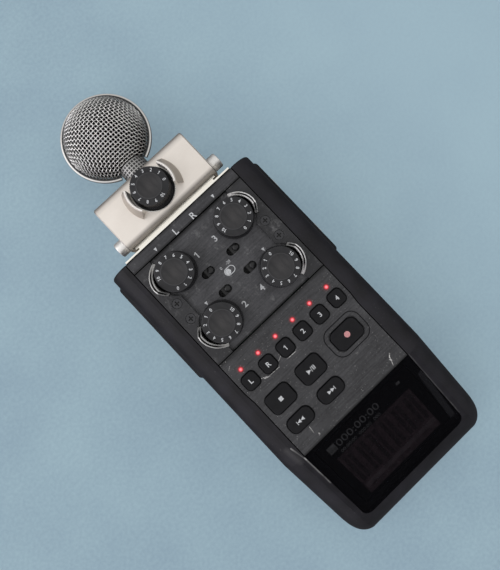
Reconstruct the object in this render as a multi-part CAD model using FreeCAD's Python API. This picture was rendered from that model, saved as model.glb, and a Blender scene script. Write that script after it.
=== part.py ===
"""Handheld digital recorder with a plug-on mid-side microphone capsule, lying on its back.

X points right across the controls, Y points from the screen end to the microphone, Z points
out of the control face.  The model is drawn with Y measured from the screen end of the body
and Z from the back face, and every piece is moved at the end so that the origin is the mouth
of the tripod thread.  Lengths are in millimetres.
"""
import FreeCAD
import Part
import math
import os

from FreeCAD import Vector

# Body shell
BODY_WIDTH = 74.4
SHELL_WALL = 2.2
BACK_WALL = 3.0
RAIL_FLAT = 2.0
RAIL_DROP = 8.0
INNER_SHOULDER_DROP = 6.0
BACK_FLAT_WIDTH = 62.0
BACK_EDGE_RISE = 7.5
BOW_RADIUS = 24.0
INNER_BOW_DEPTH = 3.2
END_EDGE_RADIUS = 1.2

# Screen
SCREEN_SLOPE = 19.0
SCREEN_TOP_Y = 51.8
SCREEN_END_MARGIN = 12.845
LENS_THICKNESS = 1.8
LENS_CORNER = 3.5
GLUE_GAP = 0.2
LENS_LEDGE = 3.6
MODULE_THICKNESS = 3.2
MODULE_GAP = 0.4

# Plates set into the front face
UPPER_PLATE_WIDTH = 56.6
WAIST_STEP = 0.5
WAIST_LENGTH = 5.0
WAIST_DROP = 2.2
CONTROL_PANEL_LENGTH = 47.6
GAIN_PANEL_LENGTH = 47.9
TOP_BAR_LENGTH = 5.5
PLATE_THICKNESS = 3.0
PLATE_GAP = 0.2
LEDGE_WIDTH = 1.2
LEDGE_THICKNESS = 2.0
END_LEDGE = 7.6

# Gain panel
RECESS_DEPTH = 1.5
RECESS_WIDTH = 41.0
RECESS_RING_GAP = 1.05
KNOB_SPREAD = 30.6
KNOB_PITCH_Y = 26.2
KNOB_MID_INSET = 23.4

# Gain knobs and their potentiometers
KNOB_RADIUS = 8.0
KNOB_SKIRT = 0.25
KNOB_SKIRT_HEIGHT = 1.5
KNOB_TAPER = 0.2
KNOB_RING_DROP = 0.25
KNOB_HEIGHT = 8.6
KNOB_FLOOR_GAP = 0.5
KNOB_CAP_RADIUS = 5.0
KNOB_CAP_DISH = 0.55
KNOB_BORE_DEPTH = 6.4
SHAFT_RADIUS = 3.0
SHAFT_CLEARANCE = 0.05
SHAFT_END_GAP = 0.3
BUSH_WALL = 0.6
BUSH_GAP = 0.3
POT_SIZE = 10.0

# Guard rails beside the gain knobs
GUARD_GAP = 0.3
GUARD_THICKNESS = 1.5
GUARD_RISE = 10.6
GUARD_INNER_SWEEP = 30.0
GUARD_OUTER_SWEEP = 62.0
GUARD_BEVEL = 0.35
GUARD_FIT = 0.1
GUARD_LONG_LEAN = 50.0
GUARD_SHORT_LEAN = 75.0

# Pad switches
PAD_SPREAD = 13.4
PAD_PITCH_Y = 9.8
PAD_MID_DROP = 0.4
PAD_SLOT_LENGTH = 6.0
PAD_SLOT_WIDTH = 3.4
PAD_NUB_RADIUS = 1.45
PAD_PROUD = 0.9
PAD_BASE_LENGTH = 5.0
PAD_BASE_WIDTH = 4.2
PAD_BASE_THICKNESS = 0.9

# Keys on the control panel
KEY_GAP = 0.28
KEY_PROUD = 0.8
KEY_TRAVEL = 0.5
KEY_FLANGE = 0.45
KEY_FLANGE_THICKNESS = 0.7
KEY_EDGE = 0.35
TRACK_NAMES = ("l", "r", "1", "2", "3", "4")
TRACK_SIDE_MARGIN = 2.175
TRACK_DROP = 12.7
TRACK_KEY = 6.2
TRACK_CORNER = 1.7
LED_DROP = 6.9
LED_RADIUS = 0.95
LED_PROUD = 0.1
LED_GAP = 0.05
LEFT_COLUMN_X = -19.3
MIDDLE_COLUMN_X = -3.25
RECORD_X = 16.15
UPPER_ROW_DROP = 25.45
LOWER_ROW_DROP = 36.5
PLAY_KEY_WIDTH = 11.2
PLAY_KEY_HEIGHT = 8.3
PLAY_KEY_CORNER = 2.0
SKIP_KEY_HEIGHT = 6.2
SKIP_KEY_CORNER = 2.5
RECORD_KEY_WIDTH = 12.8
RECORD_KEY_HEIGHT = 8.5
RECORD_KEY_CORNER = 2.6
RECORD_RING_WIDTH = 17.7
RECORD_RING_HEIGHT = 13.1
RECORD_RING_CORNER = 4.4
RECORD_GROOVE = 0.45
RECORD_GROOVE_DEPTH = 0.7

# Circuit board
BOARD_THICKNESS = 1.5
BOARD_JACK_GAP = 0.3
BOARD_ROOM = 4.3
BOARD_WIDTH = 59.0
BOARD_END_GAP = 2.4
SWITCH_SIZE = 4.0
SWITCH_GAP = 0.3
UNDER_PLATE_GAP = 0.3
POST_RADIUS = 1.6
POST_X = 28.0

# Input panels and combination jacks
INPUT_PANEL_END_GAP = 3.6
INPUT_PANEL_MARGIN = 0.85
INPUT_PANEL_FOOT = 1.3
INPUT_PANEL_HEAD = 2.5
INPUT_PANEL_CORNER = 3.0
INPUT_PANEL_THICKNESS = 3.0
INPUT_PANEL_PROUD = 1.0
INPUT_PANEL_BEVEL = 1.0
INPUT_OPENING_DEPTH = 8.8
JACK_SPACING = 2.2
JACK_HEIGHT = 16.5
JACK_RADIUS = 11.6
JACK_LENGTH = 20.0
JACK_RECESS = 0.5
JACK_GAP = 0.25
SHELL_GROOVE_RADIUS = 9.7
SHELL_GROOVE_WIDTH = 1.8
SHELL_GROOVE_DEPTH = 13.0
TIP_BORE_RADIUS = 3.2
TIP_BORE_LENGTH = 17.0
PIN_HOLE_RADIUS = 1.2
PIN_HOLE_CIRCLE = 5.4
PIN_HOLE_DEPTH = 11.0
PIN_HOLE_TURNS = (90, 210, 330)
LATCH_WIDTH = 4.6
LATCH_THICKNESS = 1.3
LATCH_LENGTH = 8.0
LATCH_PROUD = 0.9
LATCH_TRAVEL = 1.2
LATCH_GAP = 0.15
LATCH_LIFT = 0.3

# Side controls
CONTROL_CELL_GAP = 0.2
WHEEL_RADIUS = 7.0
WHEEL_THICKNESS = 3.0
WHEEL_PROUD = 1.3
WHEEL_GAP = 0.3
AXLE_RADIUS = 1.5
AXLE_CLEARANCE = 0.05
AXLE_COLLAR = 0.5
VOLUME_STEP = 22.0
SCROLL_STEP = 11.0
MENU_INSET = 14.9
MENU_RADIUS = 2.5
MENU_PROUD = 0.7
MENU_FLANGE = 0.7
MENU_FLANGE_THICKNESS = 1.4
POWER_INSET = 10.9
POWER_TRAVEL = 2.6
POWER_NUB_LENGTH = 4.4
POWER_NUB_HEIGHT = 2.8
POWER_PROUD = 0.8
POWER_PLATE = 1.2
LINE_OUT_STEP = 14.0
PHONES_STEP = 9.0
USB_STEP = 10.0
SOCKET_BORE = 1.8
SOCKET_NOSE = 2.45
NOSE_GAP = 0.15
SOCKET_WIDTH = 6.6
SOCKET_HEIGHT = 4.6
SOCKET_LENGTH = 13.5
SOCKET_END_WALL = 1.0
SOCKET_FLUSH = 0.1
USB_WIDTH = 7.6
USB_HEIGHT = 3.8
USB_SHEET = 0.35
USB_TONGUE = 1.0
USB_DROP = 1.2
USB_LENGTH = 8.0
SLOT_GAP = 0.3

# Card slot and its flap
CARD_STEP = 24.0
CARD_FLAP_MARGIN = 0.75
CARD_FLAP_LIP = 0.9
CARD_FLAP_THICKNESS = 1.4
CARD_CELL_GAP = 0.3
SPLIT_DROP = 1.6
CARD_FLAP_GAP = 0.15
CARD_HINGE_PIN = 0.45
CARD_HINGE_PIN_LENGTH = 1.0
CARD_HINGE_CLEARANCE = 0.05
CARD_SLOT_LENGTH = 24.5
CARD_SLOT_HEIGHT = 2.4
CARD_SOCKET_DEPTH = 22.0
CARD_SOCKET_WALL = 0.5

# Battery bay
CELL_COUNT = 4
CELL_RADIUS = 7.2
CELL_LENGTH = 50.0
CELL_SPACING = 0.4
CELL_NUB_RADIUS = 2.7
CELL_NUB_LENGTH = 1.0
CELL_LIFT = 0.3
CONTACT_SIZE = 9.0
CONTACT_THICKNESS = 0.5
CONTACT_GAP = 0.05
BAY_RIB = 1.4
BAY_JACK_GAP = 7.4
DOOR_WIDTH = 60.4
DOOR_LENGTH = 66.0
DOOR_THICKNESS = 2.4
DOOR_GAP = 0.3
DOOR_PIN_RADIUS = 0.6
DOOR_PIN_LENGTH = 1.7
DOOR_PIN_CLEARANCE = 0.05
DOOR_PIN_END_GAP = 0.1

# Tripod bush and speaker grille in the back
TRIPOD_INSET = 44.8
TRIPOD_THREAD_RADIUS = 2.6
TRIPOD_THREAD_DEPTH = 8.0
TRIPOD_BUSH_RADIUS = 5.0
TRIPOD_BUSH_HEIGHT = 9.5
TRIPOD_FLANGE_RADIUS = 7.5
TRIPOD_FLANGE_THICKNESS = 1.5
TRIPOD_BUSH_GAP = 0.1
GRILLE_INSET = 21.8
GRILLE_SLOTS = 6
GRILLE_PITCH = 2.6
GRILLE_SLOT_LENGTH = 16.0
GRILLE_SLOT_WIDTH = 1.2
SPEAKER_RADIUS = 9.5
SPEAKER_HEIGHT = 4.0

# Screws
PANEL_SCREW_SPREAD = 47.4
PANEL_SCREW_PITCH = 7.9
PANEL_SCREW_HEAD = 1.9
PANEL_SCREW_HEAD_THICKNESS = 1.2
PANEL_SCREW_SHANK = 1.0
PANEL_SCREW_SINK = 0.1
CASE_SCREW_HEAD = 2.4
CASE_SCREW_HEAD_THICKNESS = 1.2
CASE_SCREW_SHANK = 1.1
CASE_SCREW_SINK = 1.0
CASE_SCREW_LENGTH = 15.0
CASE_POST_WALL = 1.5
CASE_SCREW_INSET = 4.4
END_SCREW_INSET = 2.75
BOSS_ROOT = 1.0
CASE_POST_TOP = 11.4
SCREW_GAP = 0.15
THREAD_GAP = 0.05
STANDOFF_WALL = 1.0
CROSS_LENGTH = 2.2
CROSS_WIDTH = 0.5
CROSS_DEPTH = 0.6

# Plate and plug that carry the capsule
MOUNT_PLATE_WIDTH = 55.2
MOUNT_PLATE_THICKNESS = 0.7
MOUNT_PLATE_BOTTOM = 6.0
MOUNT_PLATE_TOP_GAP = 0.2
PLUG_WIDTH = 35.6
PLUG_BOTTOM = 12.6
PLUG_TOP = 27.4
PLUG_DEPTH = 4.9
PLUG_GAP = 0.4

# Capsule
SEAT_GAP = 0.1
FLANGE_WIDTH = 40.8
FLANGE_LENGTH = 1.7
FLANGE_STEP = 3.0
FLANGE_BOTTOM = 5.0
HOUSING_WIDTH = 47.2
HOUSING_LENGTH = 23.0
HOUSING_BOTTOM = 4.0
HOUSING_DROP = 2.2
HOUSING_NEAR_ROUND = 4.0
HOUSING_FAR_ROUND = 2.6
HOUSING_WALL = 1.6
HOUSING_SIDE_BEVEL = 0.5
SPIGOT_LENGTH = 2.4
SPIGOT_GAP = 0.15
CAPSULE_KNOB_INSET = 12.8
POCKET_GAP = 0.9
POCKET_DEPTH = 1.5
POCKET_FLOOR = 1.6
CAPSULE_GUARD_RISE = 7.0
CAPSULE_GUARD_GAP = 1.35
CAPSULE_GUARD_CREST = 1.1
CAPSULE_GUARD_WIDTH = 3.45
CAPSULE_GUARD_SWEEP = 31.5
CAPSULE_POT_HEIGHT = 4.0
RELEASE_INSET = 6.7
RELEASE_HEIGHT = 19.5
RELEASE_RADIUS = 3.5
RELEASE_PROUD = 5.4
RELEASE_GAP = 0.15
RELEASE_FLANGE = 0.7
RELEASE_FLANGE_THICKNESS = 1.0

# Microphone ball
BALL_NECK_LENGTH = 3.8
BALL_CENTRE_HEIGHT = 20.0
RING_RADIUS = 19.7
RING_WIDTH = 1.9
RING_THICKNESS = 2.0
RING_GATE_RADIUS = 6.8
MESH_RADIUS = 18.9
MESH_SINK = 3.3
MESH_THICKNESS = 0.9
NECK_RADIUS = 6.2
NECK_GAP = 0.1
NECK_INSET = 15.8
STEM_RADIUS = 2.0
STEM_INSET = 8.8
ELEMENT_RADIUS = 7.0
ELEMENT_THICKNESS = 7.0

# What the sizes above give
SLOPE = math.radians(SCREEN_SLOPE)
HALF_WIDTH = BODY_WIDTH / 2
INNER_HALF = HALF_WIDTH - SHELL_WALL
CREST = UPPER_PLATE_WIDTH / 2 + RAIL_FLAT
LOWER_PLATE_WIDTH = UPPER_PLATE_WIDTH - 2 * WAIST_STEP
LENS_LENGTH = (SCREEN_TOP_Y - SCREEN_END_MARGIN) / math.cos(SLOPE)

# Places along the body
GAIN_PANEL_BOTTOM_Y = SCREEN_TOP_Y + CONTROL_PANEL_LENGTH
GAIN_PANEL_TOP_Y = GAIN_PANEL_BOTTOM_Y + GAIN_PANEL_LENGTH
BODY_LENGTH = GAIN_PANEL_TOP_Y + TOP_BAR_LENGTH
KNOB_MID_Y = GAIN_PANEL_TOP_Y - KNOB_MID_INSET
PAD_MID_Y = KNOB_MID_Y - PAD_MID_DROP
LED_Y = GAIN_PANEL_BOTTOM_Y - LED_DROP
TRACK_Y = GAIN_PANEL_BOTTOM_Y - TRACK_DROP
UPPER_ROW_Y = GAIN_PANEL_BOTTOM_Y - UPPER_ROW_DROP
LOWER_ROW_Y = GAIN_PANEL_BOTTOM_Y - LOWER_ROW_DROP
WAIST_TOP_Y = TRACK_Y - WAIST_DROP
WAIST_BOTTOM_Y = WAIST_TOP_Y - WAIST_LENGTH
TRACK_PITCH = (UPPER_PLATE_WIDTH - 2 * TRACK_SIDE_MARGIN - TRACK_KEY) / (len(TRACK_NAMES) - 1)
JACK_PITCH_Y = 2 * JACK_RADIUS + JACK_SPACING
INPUT_PANEL_LENGTH = JACK_PITCH_Y + 2 * JACK_RADIUS + 2 * INPUT_PANEL_MARGIN
INPUT_PANEL_START_Y = BODY_LENGTH - INPUT_PANEL_END_GAP - INPUT_PANEL_LENGTH
INPUT_PANEL_CENTRE_Y = INPUT_PANEL_START_Y + INPUT_PANEL_LENGTH / 2
BAY_CENTRE_Y = INPUT_PANEL_START_Y - BAY_JACK_GAP - DOOR_LENGTH / 2
TRIPOD_Y = BODY_LENGTH - TRIPOD_INSET
GRILLE_Y = BODY_LENGTH - GRILLE_INSET
POWER_Y = INPUT_PANEL_START_Y - POWER_INSET
VOLUME_Y = POWER_Y - VOLUME_STEP
LINE_OUT_Y = VOLUME_Y - LINE_OUT_STEP
PHONES_Y = LINE_OUT_Y - PHONES_STEP
USB_Y = PHONES_Y - USB_STEP
MENU_Y = INPUT_PANEL_START_Y - MENU_INSET
SCROLL_Y = MENU_Y - SCROLL_STEP
CARD_Y = SCROLL_Y - CARD_STEP
CARD_FLAP_LENGTH = CARD_SLOT_LENGTH + 2 * CARD_FLAP_MARGIN

# Heights, from the back face to the front plates
CELL_PITCH = 2 * CELL_RADIUS + CELL_SPACING
CELL_TOP = DOOR_THICKNESS + CELL_LIFT + 2 * CELL_RADIUS
CONTROL_HEIGHT = CELL_TOP + CONTROL_CELL_GAP + SOCKET_HEIGHT / 2
CARD_SLOT_Z = CELL_TOP + CARD_CELL_GAP + CARD_SOCKET_WALL + CARD_SLOT_HEIGHT / 2
CARD_FLAP_TOP = CARD_SLOT_Z + CARD_SLOT_HEIGHT / 2 + CARD_FLAP_LIP
CARD_FLAP_BOTTOM = CARD_SLOT_Z - CARD_SLOT_HEIGHT / 2 - CARD_FLAP_LIP - CARD_FLAP_THICKNESS
SPLIT_HEIGHT = CARD_FLAP_BOTTOM - SPLIT_DROP
INPUT_PANEL_BOTTOM = JACK_HEIGHT - JACK_RADIUS - INPUT_PANEL_FOOT
INPUT_PANEL_TOP = JACK_HEIGHT + JACK_RADIUS + INPUT_PANEL_HEAD
BOARD_BOTTOM = JACK_HEIGHT + JACK_RADIUS + BOARD_JACK_GAP
BOARD_TOP = BOARD_BOTTOM + BOARD_THICKNESS
PLATE_BOTTOM = BOARD_TOP + BOARD_ROOM
PANEL_HEIGHT = PLATE_BOTTOM + PLATE_THICKNESS
GUARD_TOP = PANEL_HEIGHT + GUARD_RISE
CAVITY_TOP = PLATE_BOTTOM - LEDGE_THICKNESS
FRONT_WALL = PANEL_HEIGHT - CAVITY_TOP
RECESS_FLOOR = PANEL_HEIGHT - RECESS_DEPTH
RECESS_RING = KNOB_RADIUS + KNOB_SKIRT + RECESS_RING_GAP
UNDER_PLATE = PLATE_BOTTOM - UNDER_PLATE_GAP
KEY_BOTTOM = UNDER_PLATE - KEY_FLANGE_THICKNESS
SWITCH_TOP = KEY_BOTTOM - KEY_TRAVEL - SWITCH_GAP
CASE_POST = CASE_SCREW_SHANK + SCREW_GAP + CASE_POST_WALL
BUSH_RADIUS = SHAFT_RADIUS + SHAFT_CLEARANCE + BUSH_WALL
PLATE_FACE_Y = BODY_LENGTH + MOUNT_PLATE_THICKNESS
FLANGE_NEAR_Y = PLATE_FACE_Y + SEAT_GAP
HOUSING_NEAR_Y = FLANGE_NEAR_Y + FLANGE_LENGTH
HOUSING_FAR_Y = HOUSING_NEAR_Y + HOUSING_LENGTH
HOUSING_TOP = PANEL_HEIGHT - HOUSING_DROP
FLANGE_TOP = HOUSING_TOP - FLANGE_STEP
CAPSULE_KNOB_Y = HOUSING_NEAR_Y + CAPSULE_KNOB_INSET
CAPSULE_GUARD_TOP = HOUSING_TOP + CAPSULE_GUARD_RISE
CAPSULE_GUARD_INNER = KNOB_RADIUS + CAPSULE_GUARD_GAP
CAPSULE_GUARD_FOOT = CAPSULE_GUARD_INNER + CAPSULE_GUARD_WIDTH
RELEASE_Y = HOUSING_NEAR_Y + RELEASE_INSET
BALL_CENTRE_Y = HOUSING_FAR_Y + BALL_NECK_LENGTH + RING_RADIUS
NECK_TOP_Y = BALL_CENTRE_Y - NECK_INSET
STEM_TOP_Y = BALL_CENTRE_Y - STEM_INSET

# Helpers for drawing: how far cutters run past a face, how deep a joined piece is rooted in the
# other, a length beyond the whole model, and how near two numbers count as the same
OVER = 1.0
ROOT = 0.5
FAR = 400.0
SAME = 1e-4
QUARTER_TURN = 90.0
HALF_TURN = 180.0
FULL_TURN = 360.0

X_AXIS = Vector(1, 0, 0)
Y_AXIS = Vector(0, 1, 0)
Z_AXIS = Vector(0, 0, 1)


def box(x0, x1, y0, y1, z0, z1):
    """A block between two corners."""
    return Part.makeBox(x1 - x0, y1 - y0, z1 - z0, Vector(x0, y0, z0))


def rod(radius, start, axis, length):
    """A round bar from a point along an axis."""
    return Part.makeCylinder(radius, length, Vector(*start), axis)


def polygon(points):
    """A flat face through the points."""
    corners = [Vector(*point) for point in points]
    return Part.Face(Part.makePolygon(corners + corners[:1]))


def rounded_plate(cx, cy, width, height, corner, z0, z1):
    """A plate with four round corners, lying flat."""
    plate = box(cx - width / 2, cx + width / 2, cy - height / 2, cy + height / 2, z0, z1)
    return plate.makeFillet(corner, [edge for edge in plate.Edges if edge.BoundBox.ZLength > SAME])


def round_slot(cx, cy, length, width, z0, z1):
    """A cutter for a slot along X with round ends."""
    reach = (length - width) / 2
    slot = box(cx - reach, cx + reach, cy - width / 2, cy + width / 2, z0, z1)
    for x in (cx - reach, cx + reach):
        slot = slot.fuse(rod(width / 2, (x, cy, z0), Z_AXIS, z1 - z0))
    return slot.removeSplitter()


def edges_at(shape, axis, value):
    """Edges that lie wholly in the plane where one coordinate has the value."""
    found = []
    for edge in shape.Edges:
        low = getattr(edge.BoundBox, axis + "Min")
        high = getattr(edge.BoundBox, axis + "Max")
        if abs(low - value) < SAME and abs(high - value) < SAME:
            found.append(edge)
    return found


def mirrored(shape):
    """The same shape on the other side of the middle plane."""
    return shape.mirror(Vector(0, 0, 0), X_AXIS)


def tilted(shape):
    """A shape drawn flat at the screen's top edge, laid onto the sloping screen face."""
    turned = shape.copy()
    turned.rotate(Vector(0, SCREEN_TOP_Y, PANEL_HEIGHT), X_AXIS, SCREEN_SLOPE)
    return turned


def slope_height(y):
    """Height of the sloping screen face at a distance from the screen end."""
    return PANEL_HEIGHT - (SCREEN_TOP_Y - y) * math.tan(SLOPE)


def bow_centre():
    """Height of the centre of the round end, which touches the screen slope and the end plane."""
    return slope_height(0) + BOW_RADIUS * math.tan(SLOPE) - BOW_RADIUS / math.cos(SLOPE)


def side_slab():
    """The body's outline seen from the side, as a slab of full width."""
    centre = Vector(0, BOW_RADIUS, bow_centre())
    top = centre + Vector(0, -BOW_RADIUS * math.sin(SLOPE), BOW_RADIUS * math.cos(SLOPE))
    half = (math.pi / 2 - SLOPE) / 2
    middle = centre + Vector(0, -BOW_RADIUS * math.cos(half), BOW_RADIUS * math.sin(half))
    foot = Vector(0, 0, bow_centre())
    corners = [Vector(0, 0, 0), Vector(0, BODY_LENGTH, 0), Vector(0, BODY_LENGTH, PANEL_HEIGHT)]
    kink = Vector(0, SCREEN_TOP_Y, PANEL_HEIGHT)
    edges = [
        Part.makeLine(foot, corners[0]),
        Part.makeLine(corners[0], corners[1]),
        Part.makeLine(corners[1], corners[2]),
        Part.makeLine(corners[2], kink),
        Part.makeLine(kink, top),
        Part.Arc(top, middle, foot).toShape(),
    ]
    slab = Part.Face(Part.Wire(edges)).extrude(Vector(BODY_WIDTH, 0, 0))
    slab.translate(Vector(-HALF_WIDTH, 0, 0))
    return slab


def arc_corner(flat, side, drop, base):
    """A face outside a quarter round that runs from a flat's edge out to the upright side."""
    run = side - flat
    radius = (run * run + drop * drop) / (2 * run)
    reach = math.asin(drop / radius) / 2
    start = Vector(flat, 0, base)
    middle = Vector(side - radius + radius * math.cos(reach), 0, base - drop + radius * math.sin(reach))
    end = Vector(side, 0, base - drop)
    outer_low = Vector(side + drop, 0, base - drop)
    outer_high = Vector(side + drop, 0, base + drop)
    inner_high = Vector(flat, 0, base + drop)
    edges = [
        Part.Arc(start, middle, end).toShape(),
        Part.makeLine(end, outer_low),
        Part.makeLine(outer_low, outer_high),
        Part.makeLine(outer_high, inner_high),
        Part.makeLine(inner_high, start),
    ]
    return Part.Face(Part.Wire(edges))


def shoulder_cutter():
    """What is taken off the right-hand edge of the front face along its whole length."""
    section = arc_corner(CREST, HALF_WIDTH, RAIL_DROP, PANEL_HEIGHT)
    section.translate(Vector(0, SCREEN_TOP_Y, 0))
    back = section.copy()
    back.translate(Vector(0, -RAIL_DROP, 0))
    flat = back.extrude(Vector(0, BODY_LENGTH, 0))
    slope_length = (SCREEN_TOP_Y - BOW_RADIUS * (1 - math.sin(SLOPE))) / math.cos(SLOPE)
    ahead = section.copy()
    ahead.translate(Vector(0, RAIL_DROP, 0))
    slope = tilted(ahead.extrude(Vector(0, -slope_length - RAIL_DROP, 0)))
    mitre = box(-FAR, FAR, 0, FAR, -FAR, FAR)
    mitre.rotate(Vector(0, 0, 0), X_AXIS, SCREEN_SLOPE / 2)
    mitre.translate(Vector(0, SCREEN_TOP_Y, PANEL_HEIGHT))
    flat = flat.common(mitre)
    slope = slope.cut(mitre)
    end_section = section.copy()
    end_section.translate(Vector(0, -slope_length, 0))
    end_section = tilted(end_section)
    centre = Vector(0, BOW_RADIUS, bow_centre())
    bow = end_section.revolve(centre, X_AXIS, QUARTER_TURN - SCREEN_SLOPE)
    upright = arc_corner(CREST, HALF_WIDTH, RAIL_DROP, 0)
    upright.rotate(Vector(0, 0, 0), X_AXIS, QUARTER_TURN)
    upright.translate(Vector(0, 0, bow_centre()))
    foot = upright.extrude(Vector(0, 0, -PANEL_HEIGHT))
    return [flat, slope, bow, foot]


def back_edge_cutter():
    """What is taken off the right-hand edge of the back face."""
    section = arc_corner(BACK_FLAT_WIDTH / 2, HALF_WIDTH, BACK_EDGE_RISE, 0)
    section = section.mirror(Vector(0, 0, 0), Z_AXIS)
    section.translate(Vector(0, -BACK_EDGE_RISE, 0))
    return section.extrude(Vector(0, BODY_LENGTH + 2 * BACK_EDGE_RISE, 0))


def body_outside():
    """The whole body as one solid, before it is hollowed and split."""
    body = side_slab()
    for cutter in shoulder_cutter() + [back_edge_cutter()]:
        body = body.cut(cutter).cut(mirrored(cutter))
    body = body.removeSplitter()
    return body.makeFillet(END_EDGE_RADIUS, edges_at(body, "Y", BODY_LENGTH))


def body_inside():
    """The room inside the body, under the walls and the front ledge."""
    top = CAVITY_TOP
    near = SHELL_WALL + INNER_BOW_DEPTH
    drop = FRONT_WALL / math.cos(SLOPE)
    profile = polygon([
        (-INNER_HALF, near, BACK_WALL),
        (-INNER_HALF, BODY_LENGTH - SHELL_WALL, BACK_WALL),
        (-INNER_HALF, BODY_LENGTH - SHELL_WALL, top),
        (-INNER_HALF, SCREEN_TOP_Y, top),
        (-INNER_HALF, near + SHELL_WALL, slope_height(near + SHELL_WALL) - drop),
        (-INNER_HALF, near, slope_height(near) - drop - SHELL_WALL),
    ])
    room = profile.extrude(Vector(2 * INNER_HALF, 0, 0))
    shoulder = polygon([
        (CREST + SHELL_WALL, 0, top + RAIL_DROP),
        (CREST + SHELL_WALL / 2, 0, top),
        (INNER_HALF, 0, top - INNER_SHOULDER_DROP),
        (INNER_HALF + RAIL_DROP, 0, top),
        (INNER_HALF + RAIL_DROP, 0, top + RAIL_DROP),
    ])
    shoulder.translate(Vector(0, SCREEN_TOP_Y, 0))
    straight = shoulder.extrude(Vector(0, BODY_LENGTH, 0))
    falling = shoulder.extrude(Vector(0, -SCREEN_TOP_Y, -SCREEN_TOP_Y * math.tan(SLOPE)))
    heel = polygon([
        (BACK_FLAT_WIDTH / 2 + SHELL_WALL, 0, BACK_WALL),
        (INNER_HALF, 0, BACK_EDGE_RISE),
        (INNER_HALF + SHELL_WALL, 0, BACK_WALL),
    ]).extrude(Vector(0, BODY_LENGTH, 0))
    for cutter in (straight, falling, heel):
        room = room.cut(cutter).cut(mirrored(cutter))
    return room


def plate_half_width(y):
    """Half the width of the front plates, which narrows at the waist."""
    if y >= WAIST_TOP_Y:
        return UPPER_PLATE_WIDTH / 2
    if y <= WAIST_BOTTOM_Y:
        return LOWER_PLATE_WIDTH / 2
    share = (y - WAIST_BOTTOM_Y) / (WAIST_TOP_Y - WAIST_BOTTOM_Y)
    return (LOWER_PLATE_WIDTH + share * (UPPER_PLATE_WIDTH - LOWER_PLATE_WIDTH)) / 2


def front_plate(y0, y1, grow, z0, z1):
    """A slab with the outline of the front plates between two distances, grown sideways."""
    stations = [y0] + [y for y in (WAIST_BOTTOM_Y, WAIST_TOP_Y) if y0 < y < y1] + [y1]
    right = [(plate_half_width(y) + grow, y, z0) for y in stations]
    left = [(-x, y, z) for x, y, z in reversed(right)]
    return polygon(right + left).extrude(Vector(0, 0, z1 - z0))


def knob_centres():
    """Centres of the four gain knobs: 1 and 2 on the left, 3 and 4 on the right."""
    high = KNOB_MID_Y + KNOB_PITCH_Y / 2
    low = KNOB_MID_Y - KNOB_PITCH_Y / 2
    side = KNOB_SPREAD / 2
    return [(-side, high), (-side, low), (side, high), (side, low)]


def pad_centres():
    """Middles of the four pad switch slots, numbered like the knobs."""
    high = PAD_MID_Y + PAD_PITCH_Y / 2
    low = high - PAD_PITCH_Y
    side = PAD_SPREAD / 2
    return [(-side, high), (-side, low), (side, high), (side, low)]


def panel_screw_centres():
    """The two screws in each island beside the gain knobs."""
    side = PANEL_SCREW_SPREAD / 2
    rows = (KNOB_MID_Y + PANEL_SCREW_PITCH / 2, KNOB_MID_Y - PANEL_SCREW_PITCH / 2)
    return [(x, y) for x in (-side, side) for y in rows]


def case_screw_centres():
    """The screws in the back: by the screen end, between the bays, and by the capsule."""
    door_start, door_end = door_ends()
    plug_end = PLATE_FACE_Y - PLUG_DEPTH
    outer = BACK_FLAT_WIDTH / 2 - CASE_POST - SCREW_GAP
    rows = [
        (outer, door_start - CASE_POST - CASE_SCREW_INSET),
        (outer, (door_end + INPUT_PANEL_START_Y) / 2),
        (HALF_WIDTH - JACK_LENGTH - CASE_POST - END_SCREW_INSET, plug_end - CASE_POST - PLUG_GAP),
    ]
    return [(side * x, y) for x, y in rows for side in (-1, 1)]


def case_bosses():
    """Bosses that come down from the front cover on to the rear cover's posts, with their tops."""
    bosses = []
    for x, y in case_screw_centres():
        top = CAVITY_TOP + ROOT
        if y < SCREEN_TOP_Y:
            top = slope_height(y) - (FRONT_WALL - BOSS_ROOT) / math.cos(SLOPE)
        bosses.append((x, y, top))
    return bosses


def bay_ribs():
    """Both end walls of the battery bay, as distances from the screen end."""
    reach = (CELL_LENGTH + CELL_NUB_LENGTH) / 2 + CONTACT_THICKNESS + CONTACT_GAP
    return [
        (BAY_CENTRE_Y - reach - BAY_RIB, BAY_CENTRE_Y - reach),
        (BAY_CENTRE_Y + reach, BAY_CENTRE_Y + reach + BAY_RIB),
    ]


def jack_centres():
    """Middles of the four combination jacks: side of the body, and distance along it."""
    high = INPUT_PANEL_CENTRE_Y + JACK_PITCH_Y / 2
    low = INPUT_PANEL_CENTRE_Y - JACK_PITCH_Y / 2
    return [(-1, high), (-1, low), (1, high), (1, low)]


def guard(x, y, side, up, grow, bottom):
    """One curved rail round a knob; its long end points to the nearer end of the panel."""
    inner = KNOB_RADIUS + KNOB_SKIRT + GUARD_GAP - grow
    outer = inner + GUARD_THICKNESS + 2 * grow
    top = GUARD_TOP + grow
    rim = polygon([
        (inner, 0, bottom), (outer, 0, bottom), (outer, 0, top - GUARD_BEVEL),
        (outer - GUARD_BEVEL, 0, top), (inner + GUARD_BEVEL, 0, top), (inner, 0, top - GUARD_BEVEL),
    ])
    spare = math.degrees(grow / outer)
    rail = rim.revolve(Vector(0, 0, 0), Z_AXIS, GUARD_INNER_SWEEP + GUARD_OUTER_SWEEP + 2 * spare)
    rail.rotate(Vector(0, 0, 0), Z_AXIS, -GUARD_INNER_SWEEP - spare)
    if not grow:
        rail = rail.cut(end_ramp(GUARD_OUTER_SWEEP, GUARD_LONG_LEAN, 1, outer))
        rail = rail.cut(end_ramp(-GUARD_INNER_SWEEP, GUARD_SHORT_LEAN, -1, outer))
    if up < 0:
        rail = rail.mirror(Vector(0, 0, 0), Y_AXIS)
    if side < 0:
        rail = mirrored(rail)
    rail.translate(Vector(x, y, 0))
    return rail


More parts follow.
